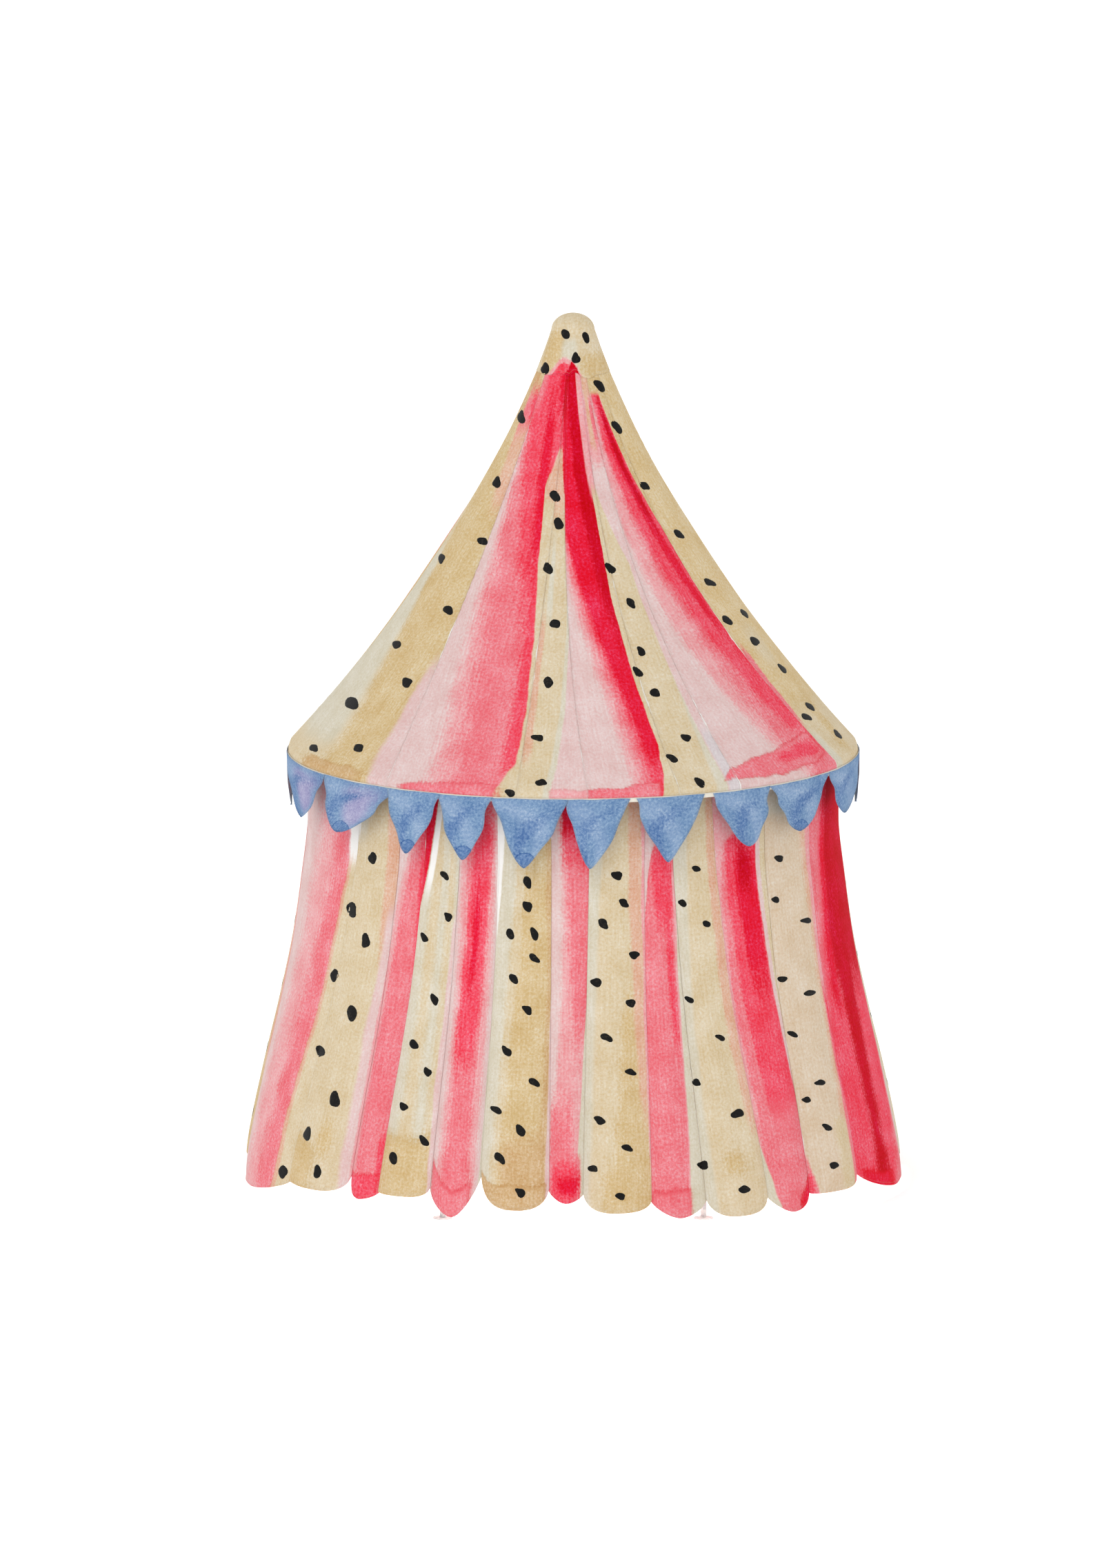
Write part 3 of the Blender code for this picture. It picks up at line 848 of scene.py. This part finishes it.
def drape_point(left, right, side, z, number, lap):
    """A point on a drape, with side from -1 to 1 between its seams and a little past them on a red one."""
    fall = (WALL_TOP_Z - z) / WALL_TOP_Z
    start = between(fall, left[0], left[1])
    end = between(fall, right[0], right[1])
    radius = wall_radius(z)
    half = (end - start) / 2
    width = radius * math.radians(half)
    reach = side * (1 + lap / width)
    bulge = DRAPE_BULGE * fall * (1 - reach * reach)
    ripple = DRAPE_RIPPLE * fall * math.sin(3.1 * reach + number) * (1 - min(1.0, abs(reach)) ** 4)
    crease = DRAPE_CREASE * fall * noise.noise(Vector((reach * width * 5.0, z * 0.8, number * 5.3)))
    crease *= 1 - min(1.0, abs(reach)) ** 3
    lift = 0.0 if lap else LAP_LIFT
    edge = width * (1 - abs(side))
    if edge < SEAM_WIDTH:
        lift += DRAPE_SEAM_LIFT
    return polar((start + end) / 2 + reach * half, radius + bulge + ripple + crease + lift, z)


def tongue_z(side, tip, notch, squareness):
    """The height of a drape's lower edge, with side from -1 to 1 across it."""
    round_off = (1 - abs(side) ** squareness) ** (1 / squareness)
    return notch + (tip - notch) * round_off


# Each drape's washes, from its ground colour up. Those that deepen a drape towards its right side are partly
# painted shade. The stations of a stroke's left and right run down from the hoop, and those of its top and
# bottom run from left to right.
BEIGE = srgb(226, 206, 180)
PINK_LEFT_DRAPE = [
    Stroke(PINK, left=(0.62, 0.46, 0.42), soft=0.20),
    Stroke(ROSE, left=(0.80, 0.70, 0.62), right=(1.0, 0.90, 0.82), soft=0.12),
    Stroke(RED, left=0.74, right=0.95, bottom=0.155, soft=0.10, fade=0.05),
    Stroke(PEACH, left=(0.945, 0.875, 0.80), top=0.20, soft=0.015, fade=0.05, wet=0.4),
    Stroke(CREAM, left=(0.975, 0.905, 0.84), top=0.24, soft=0.012, fade=0.04),
    Stroke(UNPAINTED, left=0.905, bottom=0.25, soft=0.02, fade=0.04),
]
TAN_EDGE_DRAPE = [
    Stroke(CREAM_PALE, right=0.25, bottom=0.19, fade=0.05),
    Stroke(PEACH, left=(0.72, 0.76, 0.80), bottom=0.45, soft=0.06, fade=0.08),
    Stroke(PINK_PALE, left=(1.05, 0.80, 0.80), top=0.36, soft=0.05, fade=0.05),
    Stroke(PINK, left=(1.2, 0.955, 0.93), top=0.48, soft=0.03, fade=0.05),
    Stroke(TAN, right=0.40, top=(0.885, 0.91, 0.90), soft=0.12, fade=0.02, wet=0.3),
    Stroke(TAN, left=0.42, right=0.62, top=0.84, bottom=0.92, soft=0.10, fade=0.04),
    Stroke(UNPAINTED, right=0.05, bottom=0.19, soft=0.015, fade=0.03),
]
THIN_RED_DRAPE = [
    Stroke(PINK, left=(0.85, 0.00, -0.05), soft=0.14),
    Stroke(ROSE, left=(0.98, 0.25, 0.45), soft=0.14),
    Stroke(RED, left=(0.76, 0.92, 1.2), bottom=0.50, fade=0.10),
    Stroke(RED, left=0.80, right=0.96, top=0.86, bottom=0.96, soft=0.06, fade=0.03),
    Stroke(PEACH, left=0.955, top=0.60, soft=0.02, fade=0.05),
    Stroke(RED, right=0.9, top=(0.985, 0.945, 0.955), soft=0.12, fade=0.012, wet=0.5),
]
PALE_DRAPE = [
    Stroke(CREAM, left=0.28, right=(0.60, 0.52, 0.56), top=0.12, soft=0.14, fade=0.05),
    Stroke(CREAM, left=0.72, right=0.88, top=0.18, soft=0.12, fade=0.05),
    Stroke(TAN, top=(0.85, 0.87, 0.84), fade=0.03, wet=0.3),
    Stroke(CRIMSON, right=(0.48, -0.25, -1.0), bottom=0.36, soft=0.03),
    Stroke(UNPAINTED, left=(0.47, -0.20, -1.0), right=(0.60, -0.05, -1.0), bottom=0.30, soft=0.03),
    Stroke(PINK_PALE, left=(1.2, 0.86, 0.88), top=0.36, soft=0.03, fade=0.04),
]
CORE_DRAPE = [
    Stroke(PINK, left=(0.00, 0.18, 0.16), right=(0.97, 0.78, 0.74), soft=0.10),
    Stroke(ROSE, left=(0.25, 0.28, 0.28), right=(0.95, 0.66, 0.62), soft=0.10),
    Stroke(RED, left=(0.50, 0.28, 0.36), right=(0.86, 0.62, 0.50), top=0.10, bottom=0.66, fade=0.08),
    Stroke(CRIMSON, left=(0.55, 0.38, 0.42), right=(0.72, 0.50, 0.46), top=0.26, bottom=0.50, fade=0.08),
    Stroke(CREAM_PALE, left=(0.97, 0.90, 0.84), soft=0.02),
    Stroke(ROSE, left=0.10, right=0.66, top=(0.90, 0.945, 0.92), fade=0.012, wet=0.8),
    Stroke(UNPAINTED, left=0.905, bottom=0.34, soft=0.02, fade=0.05),
]
BAND_DRAPE = [
    Stroke(CREAM, left=(0.40, 0.34, 0.30)),
    Stroke(TAN, left=(0.60, 0.46, 0.36), right=(1.2, 0.98, 0.84), top=0.12, soft=0.05),
    Stroke(TAN_DARK, left=(0.86, 0.88, 0.74), right=(1.2, 0.99, 0.86), soft=0.05),
    Stroke(TAN_DARK, left=0.40, right=0.82, top=0.84),
    Stroke(PINK_PALE, left=(1.2, 0.98, 0.85), top=0.55, soft=0.03, fade=0.04),
    Stroke(TAN_DARK, left=0.12, right=0.86, top=(0.970, 0.945, 0.960), soft=0.06, fade=0.010, wet=0.6),
    Stroke(UNPAINTED, right=(0.16, 0.07, -0.1), bottom=0.40, soft=0.02),
]
BLOB_DRAPE = [
    Stroke(PINK, left=(0.10, 0.34, 0.0), soft=0.14),
    Stroke(ROSE, left=(0.20, 0.55, 0.80), right=1.1, bottom=0.64, soft=0.16, fade=0.12),
    Stroke(ROSE, left=0.10, right=0.64, top=0.78, soft=0.12, fade=0.08),
    Stroke(RED, left=0.3, bottom=0.21, soft=0.12),
    Stroke(CRIMSON, left=0.30, right=0.65, bottom=0.15, fade=0.04),
    Stroke(CREAM_PALE, left=(1.3, 0.98, 0.70), top=0.48, soft=0.025, fade=0.04),
    Stroke(ROSE, right=0.84, top=(0.925, 0.885, 0.93), fade=0.020),
    Stroke(RED, left=0.18, right=0.80, top=(0.960, 0.910, 0.945), soft=0.12, fade=0.025),
    Stroke(CRIMSON, left=0.34, right=0.78, top=(0.965, 0.940, 0.945), bottom=0.982, soft=0.12, fade=0.018),
]
SOFT_DRAPE = [
    Stroke(CREAM_PALE, right=(0.28, 0.20, 0.20), soft=0.06),
    Stroke(TAN, left=(0.90, 0.62, 0.45), right=(1.1, 0.95, 0.98), top=0.50, soft=0.10, fade=0.08),
    Stroke(PEACH, left=(0.66, 0.76, 0.92), right=(0.95, 0.94, 1.1), bottom=0.80, soft=0.06, fade=0.08),
    Stroke(PINK, left=(0.93, 0.93, 0.95), soft=0.02),
    Stroke(LAVENDER_PINK, right=0.28, bottom=0.185, soft=0.04, fade=0.02),
    Stroke(TAN, left=0.38, right=0.98, top=0.90, soft=0.10, fade=0.04),
]
FINGER_DRAPE = [
    Stroke(ROSE, left=(0.62, -0.10, -0.20), top=(0.27, 0.165, 0.21), soft=0.03, fade=0.012, wet=0.5),
    Stroke(
        RED, left=(0.10, 0.45, 0.6), right=(0.95, 0.8, 0.7),
        top=(0.25, 0.17, 0.20), bottom=0.36, soft=0.12, fade=0.05,
    ),
    Stroke(RED, left=0.60, right=0.76, top=0.30, bottom=0.62, fade=0.08),
    Stroke(PINK, left=(0.95, 0.80, 0.64), top=0.24, soft=0.03, fade=0.03),
    Stroke(CREAM_PALE, left=(1.14, 0.85, 0.67), top=0.27, soft=0.02, fade=0.03),
    Stroke(ROSE, left=0.08, right=0.68, top=(0.98, 0.94, 0.955), fade=0.012, wet=0.8),
]
ROUND_DRAPE = [
    Stroke(CREAM_PALE, right=(0.45, 0.22, 0.24), soft=0.06),
    Stroke(PEACH, left=(0.88, 0.74, 0.88), right=(1.1, 0.94, 1.1), bottom=0.82, soft=0.06),
    Stroke(PINK, left=(1.02, 0.93, 0.96), top=0.34, bottom=0.82, soft=0.02, fade=0.04),
    Stroke(TAN, left=0.38, right=0.62, top=0.865, bottom=0.905, soft=0.12, fade=0.03, wet=0.2),
]
STRIPE_DRAPE = [
    Stroke(PINK, left=(0.25, -0.10, 0.0), soft=0.06),
    Stroke(ROSE, left=(0.32, 0.06, 0.32), right=(0.95, 0.86, 1.3), top=0.15, soft=0.06, fade=0.02),
    Stroke(
        RED, left=(0.30, 0.22, 0.62), right=(0.86, 0.80, 1.3),
        top=(0.21, 0.16, 0.19), soft=0.05, fade=0.015,
    ),
    Stroke(ROSE, left=0.10, top=0.78, soft=0.10, fade=0.08),
    Stroke(CRIMSON, left=(0.36, 0.42, 0.8), right=(0.82, 0.78, 0.9), top=0.175, bottom=0.50, fade=0.10),
    Stroke(CRIMSON_DEEP, left=0.42, right=0.66, top=0.185, bottom=0.28, soft=0.06, fade=0.05),
    Stroke(PINK, bottom=(0.205, 0.152, 0.175), fade=0.010),
    Stroke(PINK_PALE, left=(0.80, 0.82, 1.15), bottom=0.74, soft=0.025, fade=0.04),
    Stroke(CREAM, left=(0.88, 0.91, 1.2), bottom=0.76, soft=0.02, fade=0.03),
    Stroke(CREAM_PALE, right=(-1.5, -0.62, 0.30), soft=0.03),
    Stroke(CRIMSON, left=0.66, top=(1.1, 0.99, 0.955), fade=0.015, wet=0.6),
]
BEIGE_DRAPE = [
    Stroke(CREAM_PALE, bottom=0.14, fade=0.02),
    Stroke(PEACH, left=(0.60, 0.80, 0.60), soft=0.10, top=0.14, fade=0.03),
    Stroke(PINK, left=(0.84, 0.88, 0.84), soft=0.05, top=0.14, fade=0.03),
    Stroke(ROSE, left=(1.0, 0.88, 0.80), top=0.55, soft=0.03, fade=0.03),
    Stroke(RED, left=(1.0, 0.92, 0.90), top=0.58, bottom=0.82, soft=0.03, fade=0.03),
    Stroke(CREAM, left=0.52, right=0.80, top=0.84, fade=0.03),
    Stroke(ROSE, right=(-1.4, -0.60, 0.14), soft=0.03),
    Stroke(RED, right=0.07, top=0.955, soft=0.03, fade=0.015),
]
DEEP_DRAPE = [
    Stroke(PINK_PALE, left=0.66, right=0.92, top=0.72, fade=0.10),
    Stroke(RED, right=(1.3, 0.90, 0.50), soft=0.10),
    Stroke(CRIMSON_DEEP, left=(0.36, 0.16, 0.20), right=(1.9, 0.84, 0.2), bottom=0.54, soft=0.06, fade=0.08),
    Stroke(CRIMSON_DEEP, left=(0.16, 0.22, 0.28), right=(0.90, 0.48, 0.42), top=0.40, soft=0.06),
    Stroke(CRIMSON, left=(0.30, 0.12, 0.15), right=(0.36, 0.20, 0.25), bottom=0.60, soft=0.05),
    Stroke(ROSE, right=(0.25, 0.06, -0.10), soft=0.06),
    Stroke(CRIMSON, left=0.12, right=0.45, top=0.965, fade=0.015, wet=0.6),
]
DRAPE_PLANS = [
    (PINK_PALE, PINK_LEFT_DRAPE),
    (CREAM, TAN_EDGE_DRAPE),
    (PINK_PALE, THIN_RED_DRAPE),
    (CREAM_PALE, PALE_DRAPE),
    (PINK_PALE, CORE_DRAPE),
    (CREAM_PALE, BAND_DRAPE),
    (PINK_PALE, BLOB_DRAPE),
    (CREAM, SOFT_DRAPE),
    (PINK_PALE, FINGER_DRAPE),
    (CREAM, ROUND_DRAPE),
    (PINK_PALE, STRIPE_DRAPE),
    (BEIGE, BEIGE_DRAPE),
    (ROSE, DEEP_DRAPE),
    (CREAM, ROUND_DRAPE + [Stroke(CRIMSON, right=0.09, soft=0.012)]),
    (PINK_PALE, CORE_DRAPE),
    (CREAM, SOFT_DRAPE),
    (PINK_PALE, THIN_RED_DRAPE),
    (CREAM, TAN_EDGE_DRAPE),
    (PINK_PALE, FINGER_DRAPE),
    (CREAM, ROUND_DRAPE),
    (PINK_PALE, BLOB_DRAPE),
    (CREAM, SOFT_DRAPE),
]

for number, (left, right) in enumerate(zip(WALL_SEAMS, WALL_SEAMS[1:]), 1):
    colour_name = "red" if number % 2 else "cream"
    lap = LAP if number % 2 else 0.0
    tip = TONGUE_TIPS[number - 1]
    squareness = RED_SQUARENESS if number % 2 else CREAM_SQUARENESS
    widest = (WALL_TOP_RADIUS + 0.5) * math.radians(right[1] - left[1])
    steps = max(12, round(widest / DRAPE_PITCH))
    grid = []
    for down in marks(WALL_TOP_Z, DRAPE_ROWS, 0.020, 0.028):
        row_z = between(down, WALL_TOP_Z, DRAPE_LOW_Z)
        width = wall_radius(row_z) * math.radians(between(down, right[0] - left[0], right[1] - left[1]))
        row = []
        for place in marks(width, steps, SEAM_WIDTH, SEAM_WIDTH):
            side = 2 * place - 1
            side = 0.5 * side + 0.5 * math.sin(math.pi / 2 * side)
            notch = left[2] if side < 0 else right[2]
            z = between(down, WALL_TOP_Z, tongue_z(side, tip, notch, squareness))
            side *= 1 - TONGUE_GAP * max(0.0, 1 - z / notch)
            row.append(drape_point(left, right, side, z, number, lap))
        grid.append(row)
    drape, cut, area = sew(f"{colour_name}_drape_{number:02d}", grid, DRAPE_CANVAS)
    ground, strokes = DRAPE_PLANS[number - 1]
    drape.data.materials.append(washed_canvas(f"{colour_name}_drape_wash_{number:02d}", ground, strokes))
    fit(drape, f"{colour_name}_canvas", f"wall_drape_{number:02d}_{colour_name}")


# Painted spots: thick black fabric paint dabbed on with a small flat brush, so each is a low pad with an
# uneven outline and one pointed end. They belong on the cream canvas, but six of the 105 that the drawing
# shows have their middles on a red piece.
TILT = 10.0
FRAME_HEIGHT = 12.48
AIM = Vector((-0.104, 0.0, 3.193))
DISTANCE = 60.0
DRAWING_WIDTH = 1624
DRAWING_HEIGHT = 2274
PIXEL = FRAME_HEIGHT / DRAWING_HEIGHT
FORWARD = Vector((0, math.cos(math.radians(TILT)), -math.sin(math.radians(TILT))))
UPWARD = Vector((0, math.sin(math.radians(TILT)), math.cos(math.radians(TILT))))
DAB_POINTS = 16
DAB_LIFT = 0.0016
DAB_SINK = 0.0006
DAB_POINT = 0.22
DAB_SWING = 14
BLACK = srgb(10, 10, 10)
BLACK_WORN = srgb(44, 40, 34)

# Where the drawing shows each spot, in its pixels. A program found all 105 places in the drawing. They were
# then rounded to fives, not always the nearest, and five were moved by 8 to 23 pixels. Each group has the
# length and the width of its spots in pixels, and how steeply they lean down to the right.
ROOF_SPOTS = [
    (16, 12, 80, [(820, 485), (850, 490), (835, 520)]),
    (18, 13, 75, [(790, 535), (870, 560), (755, 605), (895, 620), (720, 700)]),
    (17, 14, 70, [(805, 720), (810, 760), (795, 825), (805, 905), (795, 990)]),
    (14, 12, 20, [(780, 1070), (785, 1135), (740, 1150)]),
    (15, 13, 32, [(700, 785), (640, 810), (650, 885), (575, 935), (590, 990), (455, 1085), (520, 1085)]),
    (20, 19, 25, [(510, 1020)]),
    (16, 12, 65, [(935, 705), (985, 775), (885, 825), (1030, 845), (915, 875), (1080, 890), (1055, 900)]),
    (16, 12, 60, [(1095, 930), (930, 945), (1135, 970), (925, 975), (950, 1005), (1175, 1025), (1170, 1040)]),
    (15, 12, 55, [(1215, 1065), (995, 1070), (975, 1100), (1015, 1135)]),
]
WALL_SPOTS = [
    (18, 13, 84, [(540, 1245), (530, 1365), (485, 1415), (465, 1525), (445, 1645), (410, 1700), (460, 1700)]),
    (22, 16, 80, [(510, 1320), (510, 1470), (485, 1595)]),
    (15, 11, 52, [(645, 1270), (650, 1330), (615, 1360), (630, 1450), (600, 1515), (620, 1555), (585, 1605)]),
    (17, 12, 50, [(615, 1655), (570, 1680)]),
    (17, 12, 48, [(765, 1280), (765, 1315), (740, 1355), (775, 1355), (775, 1390), (745, 1420), (765, 1465)]),
    (17, 12, 42, [(735, 1525), (775, 1570), (720, 1610), (755, 1640), (725, 1680), (755, 1730)]),
    (16, 12, 25, [(895, 1270), (905, 1310), (875, 1340), (920, 1385), (865, 1425), (915, 1455)]),
    (16, 11, 22, [(880, 1505), (915, 1555), (870, 1625), (910, 1665), (860, 1695), (900, 1735)]),
    (13, 9, 15, [(1010, 1260), (990, 1310), (1025, 1340), (1000, 1450), (1045, 1505), (1010, 1570)]),
    (17, 13, 15, [(1070, 1615), (1020, 1690), (1080, 1725)]),
    (14, 9, 25, [(1130, 1245), (1125, 1305), (1170, 1335), (1135, 1420), (1175, 1440), (1150, 1500)]),
    (14, 9, 20, [(1190, 1570), (1170, 1595), (1200, 1635), (1210, 1690)]),
]


def outer_faces(names):
    """The outsides of these pieces in one search tree, to find where a brush meets the cloth."""
    points, faces = [], []
    for name in names:
        mesh = bpy.data.objects[name].data
        first = len(points)
        points += [vertex.co.copy() for vertex in mesh.vertices]
        faces += [[first + corner for corner in face.vertices] for face in mesh.polygons]
    return BVHTree.FromPolygons(points, faces)


def seen_place(cloth, x, y):
    """Where the line of sight through a pixel of the drawing meets the cloth, and the cloth's normal."""
    right = PIXEL * (x - DRAWING_WIDTH / 2)
    up = PIXEL * (DRAWING_HEIGHT / 2 - y)
    start = AIM - FORWARD * DISTANCE + Vector((right, 0, 0)) + UPWARD * up
    return cloth.ray_cast(start, FORWARD)[:2]


def level_place(cloth, angle, z):
    """Where a level line towards the king pole meets the cloth, and the cloth's normal."""
    outside = Vector(polar(angle, 5.0, z))
    return cloth.ray_cast(outside, (Vector((0, 0, z)) - outside).normalized())[:2]


def dab(work, cloth, place, normal, length, width, lean, draw, stretch=1.0):
    """Adds one spot, laid over the cloth point by point. One that the drawing shows round the side of the
    tent is stretched along it, so that it looks as wide from the front as it is drawn."""
    outward = Vector((place.x, place.y, 0.3)).normalized()
    if normal.dot(outward) < 0:
        normal = -normal
    level = Vector((0, 0, 1)).cross(normal).normalized()
    downhill = level.cross(normal).normalized()
    tilt = math.radians(lean + draw.uniform(-DAB_SWING, DAB_SWING))
    along = level * math.cos(tilt) + downhill * math.sin(tilt)
    aside = normal.cross(along)
    phases = [draw.uniform(0, math.tau) for _ in range(3)]
    sizes = (draw.uniform(0.08, 0.16), draw.uniform(0.05, 0.12), draw.uniform(0.02, 0.06))
    rings = [[], [], []]
    for step in range(DAB_POINTS):
        turn = math.tau * step / DAB_POINTS
        reach = 1 + sum(size * math.cos((2 + k) * turn + phases[k]) for k, size in enumerate(sizes))
        reach += DAB_POINT * max(0.0, -math.cos(turn)) ** 7
        for ring, (share, lift) in enumerate([(1.0, -DAB_SINK), (0.94, DAB_LIFT * 0.6), (0.62, DAB_LIFT)]):
            across = along * (math.cos(turn) * length / 2) + aside * (math.sin(turn) * width / 2)
            across += level * (across.dot(level) * (stretch - 1))
            point = place + across * (reach * share)
            under = cloth.ray_cast(point + normal * 0.08, -normal, 0.16)[0] or point
            rings[ring].append(work.verts.new(under + normal * lift))
    top = work.verts.new(place + normal * DAB_LIFT * 1.1)
    bottom = work.verts.new(place - normal * DAB_SINK)
    for step in range(DAB_POINTS):
        after = (step + 1) % DAB_POINTS
        for outer, inner in zip(rings, rings[1:]):
            work.faces.new((outer[step], outer[after], inner[after], inner[step]))
        work.faces.new((rings[2][step], rings[2][after], top))
        work.faces.new((rings[0][after], rings[0][step], bottom))


def dab_drawn(work, cloth, groups, draw):
    """Adds the spots that the drawing shows."""
    for length, width, lean, places in groups:
        for x, y in places:
            place, normal = seen_place(cloth, x, y)
            size = PIXEL * draw.uniform(0.92, 1.08)
            stretch = 1 / max(0.45, abs(normal.dot(FORWARD)))
            dab(work, cloth, place, normal, length * size, width * size, lean, draw, stretch)


def finish_dabs(name, work, nodes):
    bmesh.ops.recalc_face_normals(work, faces=work.faces)
    mesh = bpy.data.meshes.new(name)
    work.to_mesh(mesh)
    work.free()
    mesh.shade_smooth()
    mesh.materials.append(black_paint)
    fit(add_object(name, mesh), "cream_canvas", *nodes)


black_paint, shader = new_finish("black_fabric_paint", Specular_IOR_Level=0.15)
place = shader.node("ShaderNodeTexCoord", {}, {}, "Object")
worn = place.mottle(60.0, 4.0) + place.mottle(9.0, 1.0) * 0.5
grit = place.mottle(240.0, 2.0)
colour = worn.step(0.02, 0.30).mix(BLACK, BLACK_WORN)
shader.feed({"Base Color": colour, "Roughness": worn * 0.3 + 0.55, "Normal": (grit + worn).bump(0.0008, 0.6)})

gores = [f"cream_gore_{number:02d}" for number in range(1, 12, 2)]
gores += [f"red_gore_{number:02d}" for number in range(2, 13, 2)]
roof_cloth = outer_faces(gores + ["peak_hood"])
roof_dabs = bmesh.new()
draw = random.Random(7)
dab_drawn(roof_dabs, roof_cloth, ROOF_SPOTS, draw)

# The unseen cream gores and the cap's back carry spots like those of the front, scattered about each gore
for number in (9, 11):
    for t in (0.16, 0.27, 0.37, 0.46, 0.55, 0.63, 0.71, 0.79, 0.86, 0.93):
        middle, half = gore_place(ROOF_SEAMS[number - 1], ROOF_SEAMS[number], t)
        angle = middle + half * draw.uniform(-0.6, 0.6)
        place, normal = level_place(roof_cloth, angle, roof_z(t))
        dab(roof_dabs, roof_cloth, place, normal, 0.085, 0.06, draw.uniform(40, 80), draw)
for angle, z in [(120, 6.80), (170, 6.70), (215, 6.83), (250, 6.66)]:
    place, normal = level_place(roof_cloth, angle, z)
    dab(roof_dabs, roof_cloth, place, normal, 0.08, 0.055, 75, draw)
finish_dabs("roof_spots", roof_dabs, [f"roof_gore_{number:02d}_cream" for number in range(1, 12, 2)])

drapes = [f"cream_drape_{number:02d}" for number in range(2, 23, 2)]
wall_cloth = outer_faces(drapes + [f"red_drape_{number:02d}" for number in range(1, 22, 2)])
wall_dabs = bmesh.new()
dab_drawn(wall_dabs, wall_cloth, WALL_SPOTS, draw)

# The unseen cream drapes carry ten spots each, by turns left and right of the middle
for number in range(14, 23, 2):
    left, right = WALL_SEAMS[number - 1], WALL_SEAMS[number]
    for step in range(10):
        z = 2.85 - 0.26 * step + draw.uniform(-0.05, 0.05)
        fall = (WALL_TOP_Z - z) / WALL_TOP_Z
        start, end = between(fall, left[0], left[1]), between(fall, right[0], right[1])
        angle = between(0.5 + (0.2 if step % 2 else -0.2) + draw.uniform(-0.1, 0.1), start, end)
        place, normal = level_place(wall_cloth, angle, z)
        dab(wall_dabs, wall_cloth, place, normal, 0.085, 0.05, draw.uniform(10, 60), draw)
finish_dabs("wall_spots", wall_dabs, [f"wall_drape_{number:02d}_cream" for number in range(2, 23, 2)])


# Floor and light: a plain pale floor that glows a little, a soft even sky, one broad lamp from the upper left
# of the front, and a wide soft panel low inside the tent, which faces down. The panel keeps the floor as pale
# under the lifted hem as it is outside, and it pales the side poles' feet as well.
FLOOR_SIZE = 400.0
FLOOR_GLOW = 0.30
SKY_STRENGTH = 0.865
LAMP_STRENGTH = 0.6
LAMP_WIDTH = 40
LAMP_TILT = 50
LAMP_TURN = -28
PANEL_SIZE = 4.8
PANEL_SPREAD = 75
PANEL_POWER = 95.0
PANEL_Z = 1.0
bpy.ops.mesh.primitive_plane_add(size=FLOOR_SIZE, location=(0, 0, 0))
floor = bpy.context.object
floor.name = "floor"
floor_finish, shader = new_finish("pale_floor", Base_Color=srgb(252, 252, 252), Roughness=0.9)
shader.feed({"Emission Color": (1.0, 1.0, 1.0, 1.0), "Emission Strength": FLOOR_GLOW})
floor.data.materials.append(floor_finish)

sky = bpy.data.worlds.new("sky")
sky.use_nodes = True
sky.node_tree.nodes["Background"].inputs["Color"].default_value = (1.0, 1.0, 1.0, 1.0)
sky.node_tree.nodes["Background"].inputs["Strength"].default_value = SKY_STRENGTH
bpy.context.scene.world = sky

sun = bpy.data.lights.new("broad_lamp", "SUN")
sun.energy = LAMP_STRENGTH
sun.angle = math.radians(LAMP_WIDTH)
lamp = add_object("broad_lamp", sun)
lamp.rotation_euler = (math.radians(LAMP_TILT), 0, math.radians(LAMP_TURN))

work_light = bpy.data.lights.new("inside_lamp", "AREA")
work_light.shape = "DISK"
work_light.size = PANEL_SIZE
work_light.spread = math.radians(PANEL_SPREAD)
work_light.energy = PANEL_POWER
inside = add_object("inside_lamp", work_light)
inside.location = (0, 0, PANEL_Z)


# Camera: straight on and looking ten degrees down, with no perspective, as the drawing is made.
CLIP_END = 400.0
lens = bpy.data.cameras.new("camera")
lens.type = "ORTHO"
lens.ortho_scale = FRAME_HEIGHT
lens.clip_end = CLIP_END
camera = add_object("camera", lens)
camera.location = AIM - FORWARD * DISTANCE
camera.rotation_euler = (math.radians(90 - TILT), 0, 0)
bpy.context.scene.camera = camera
bpy.context.scene.view_settings.view_transform = "Standard"
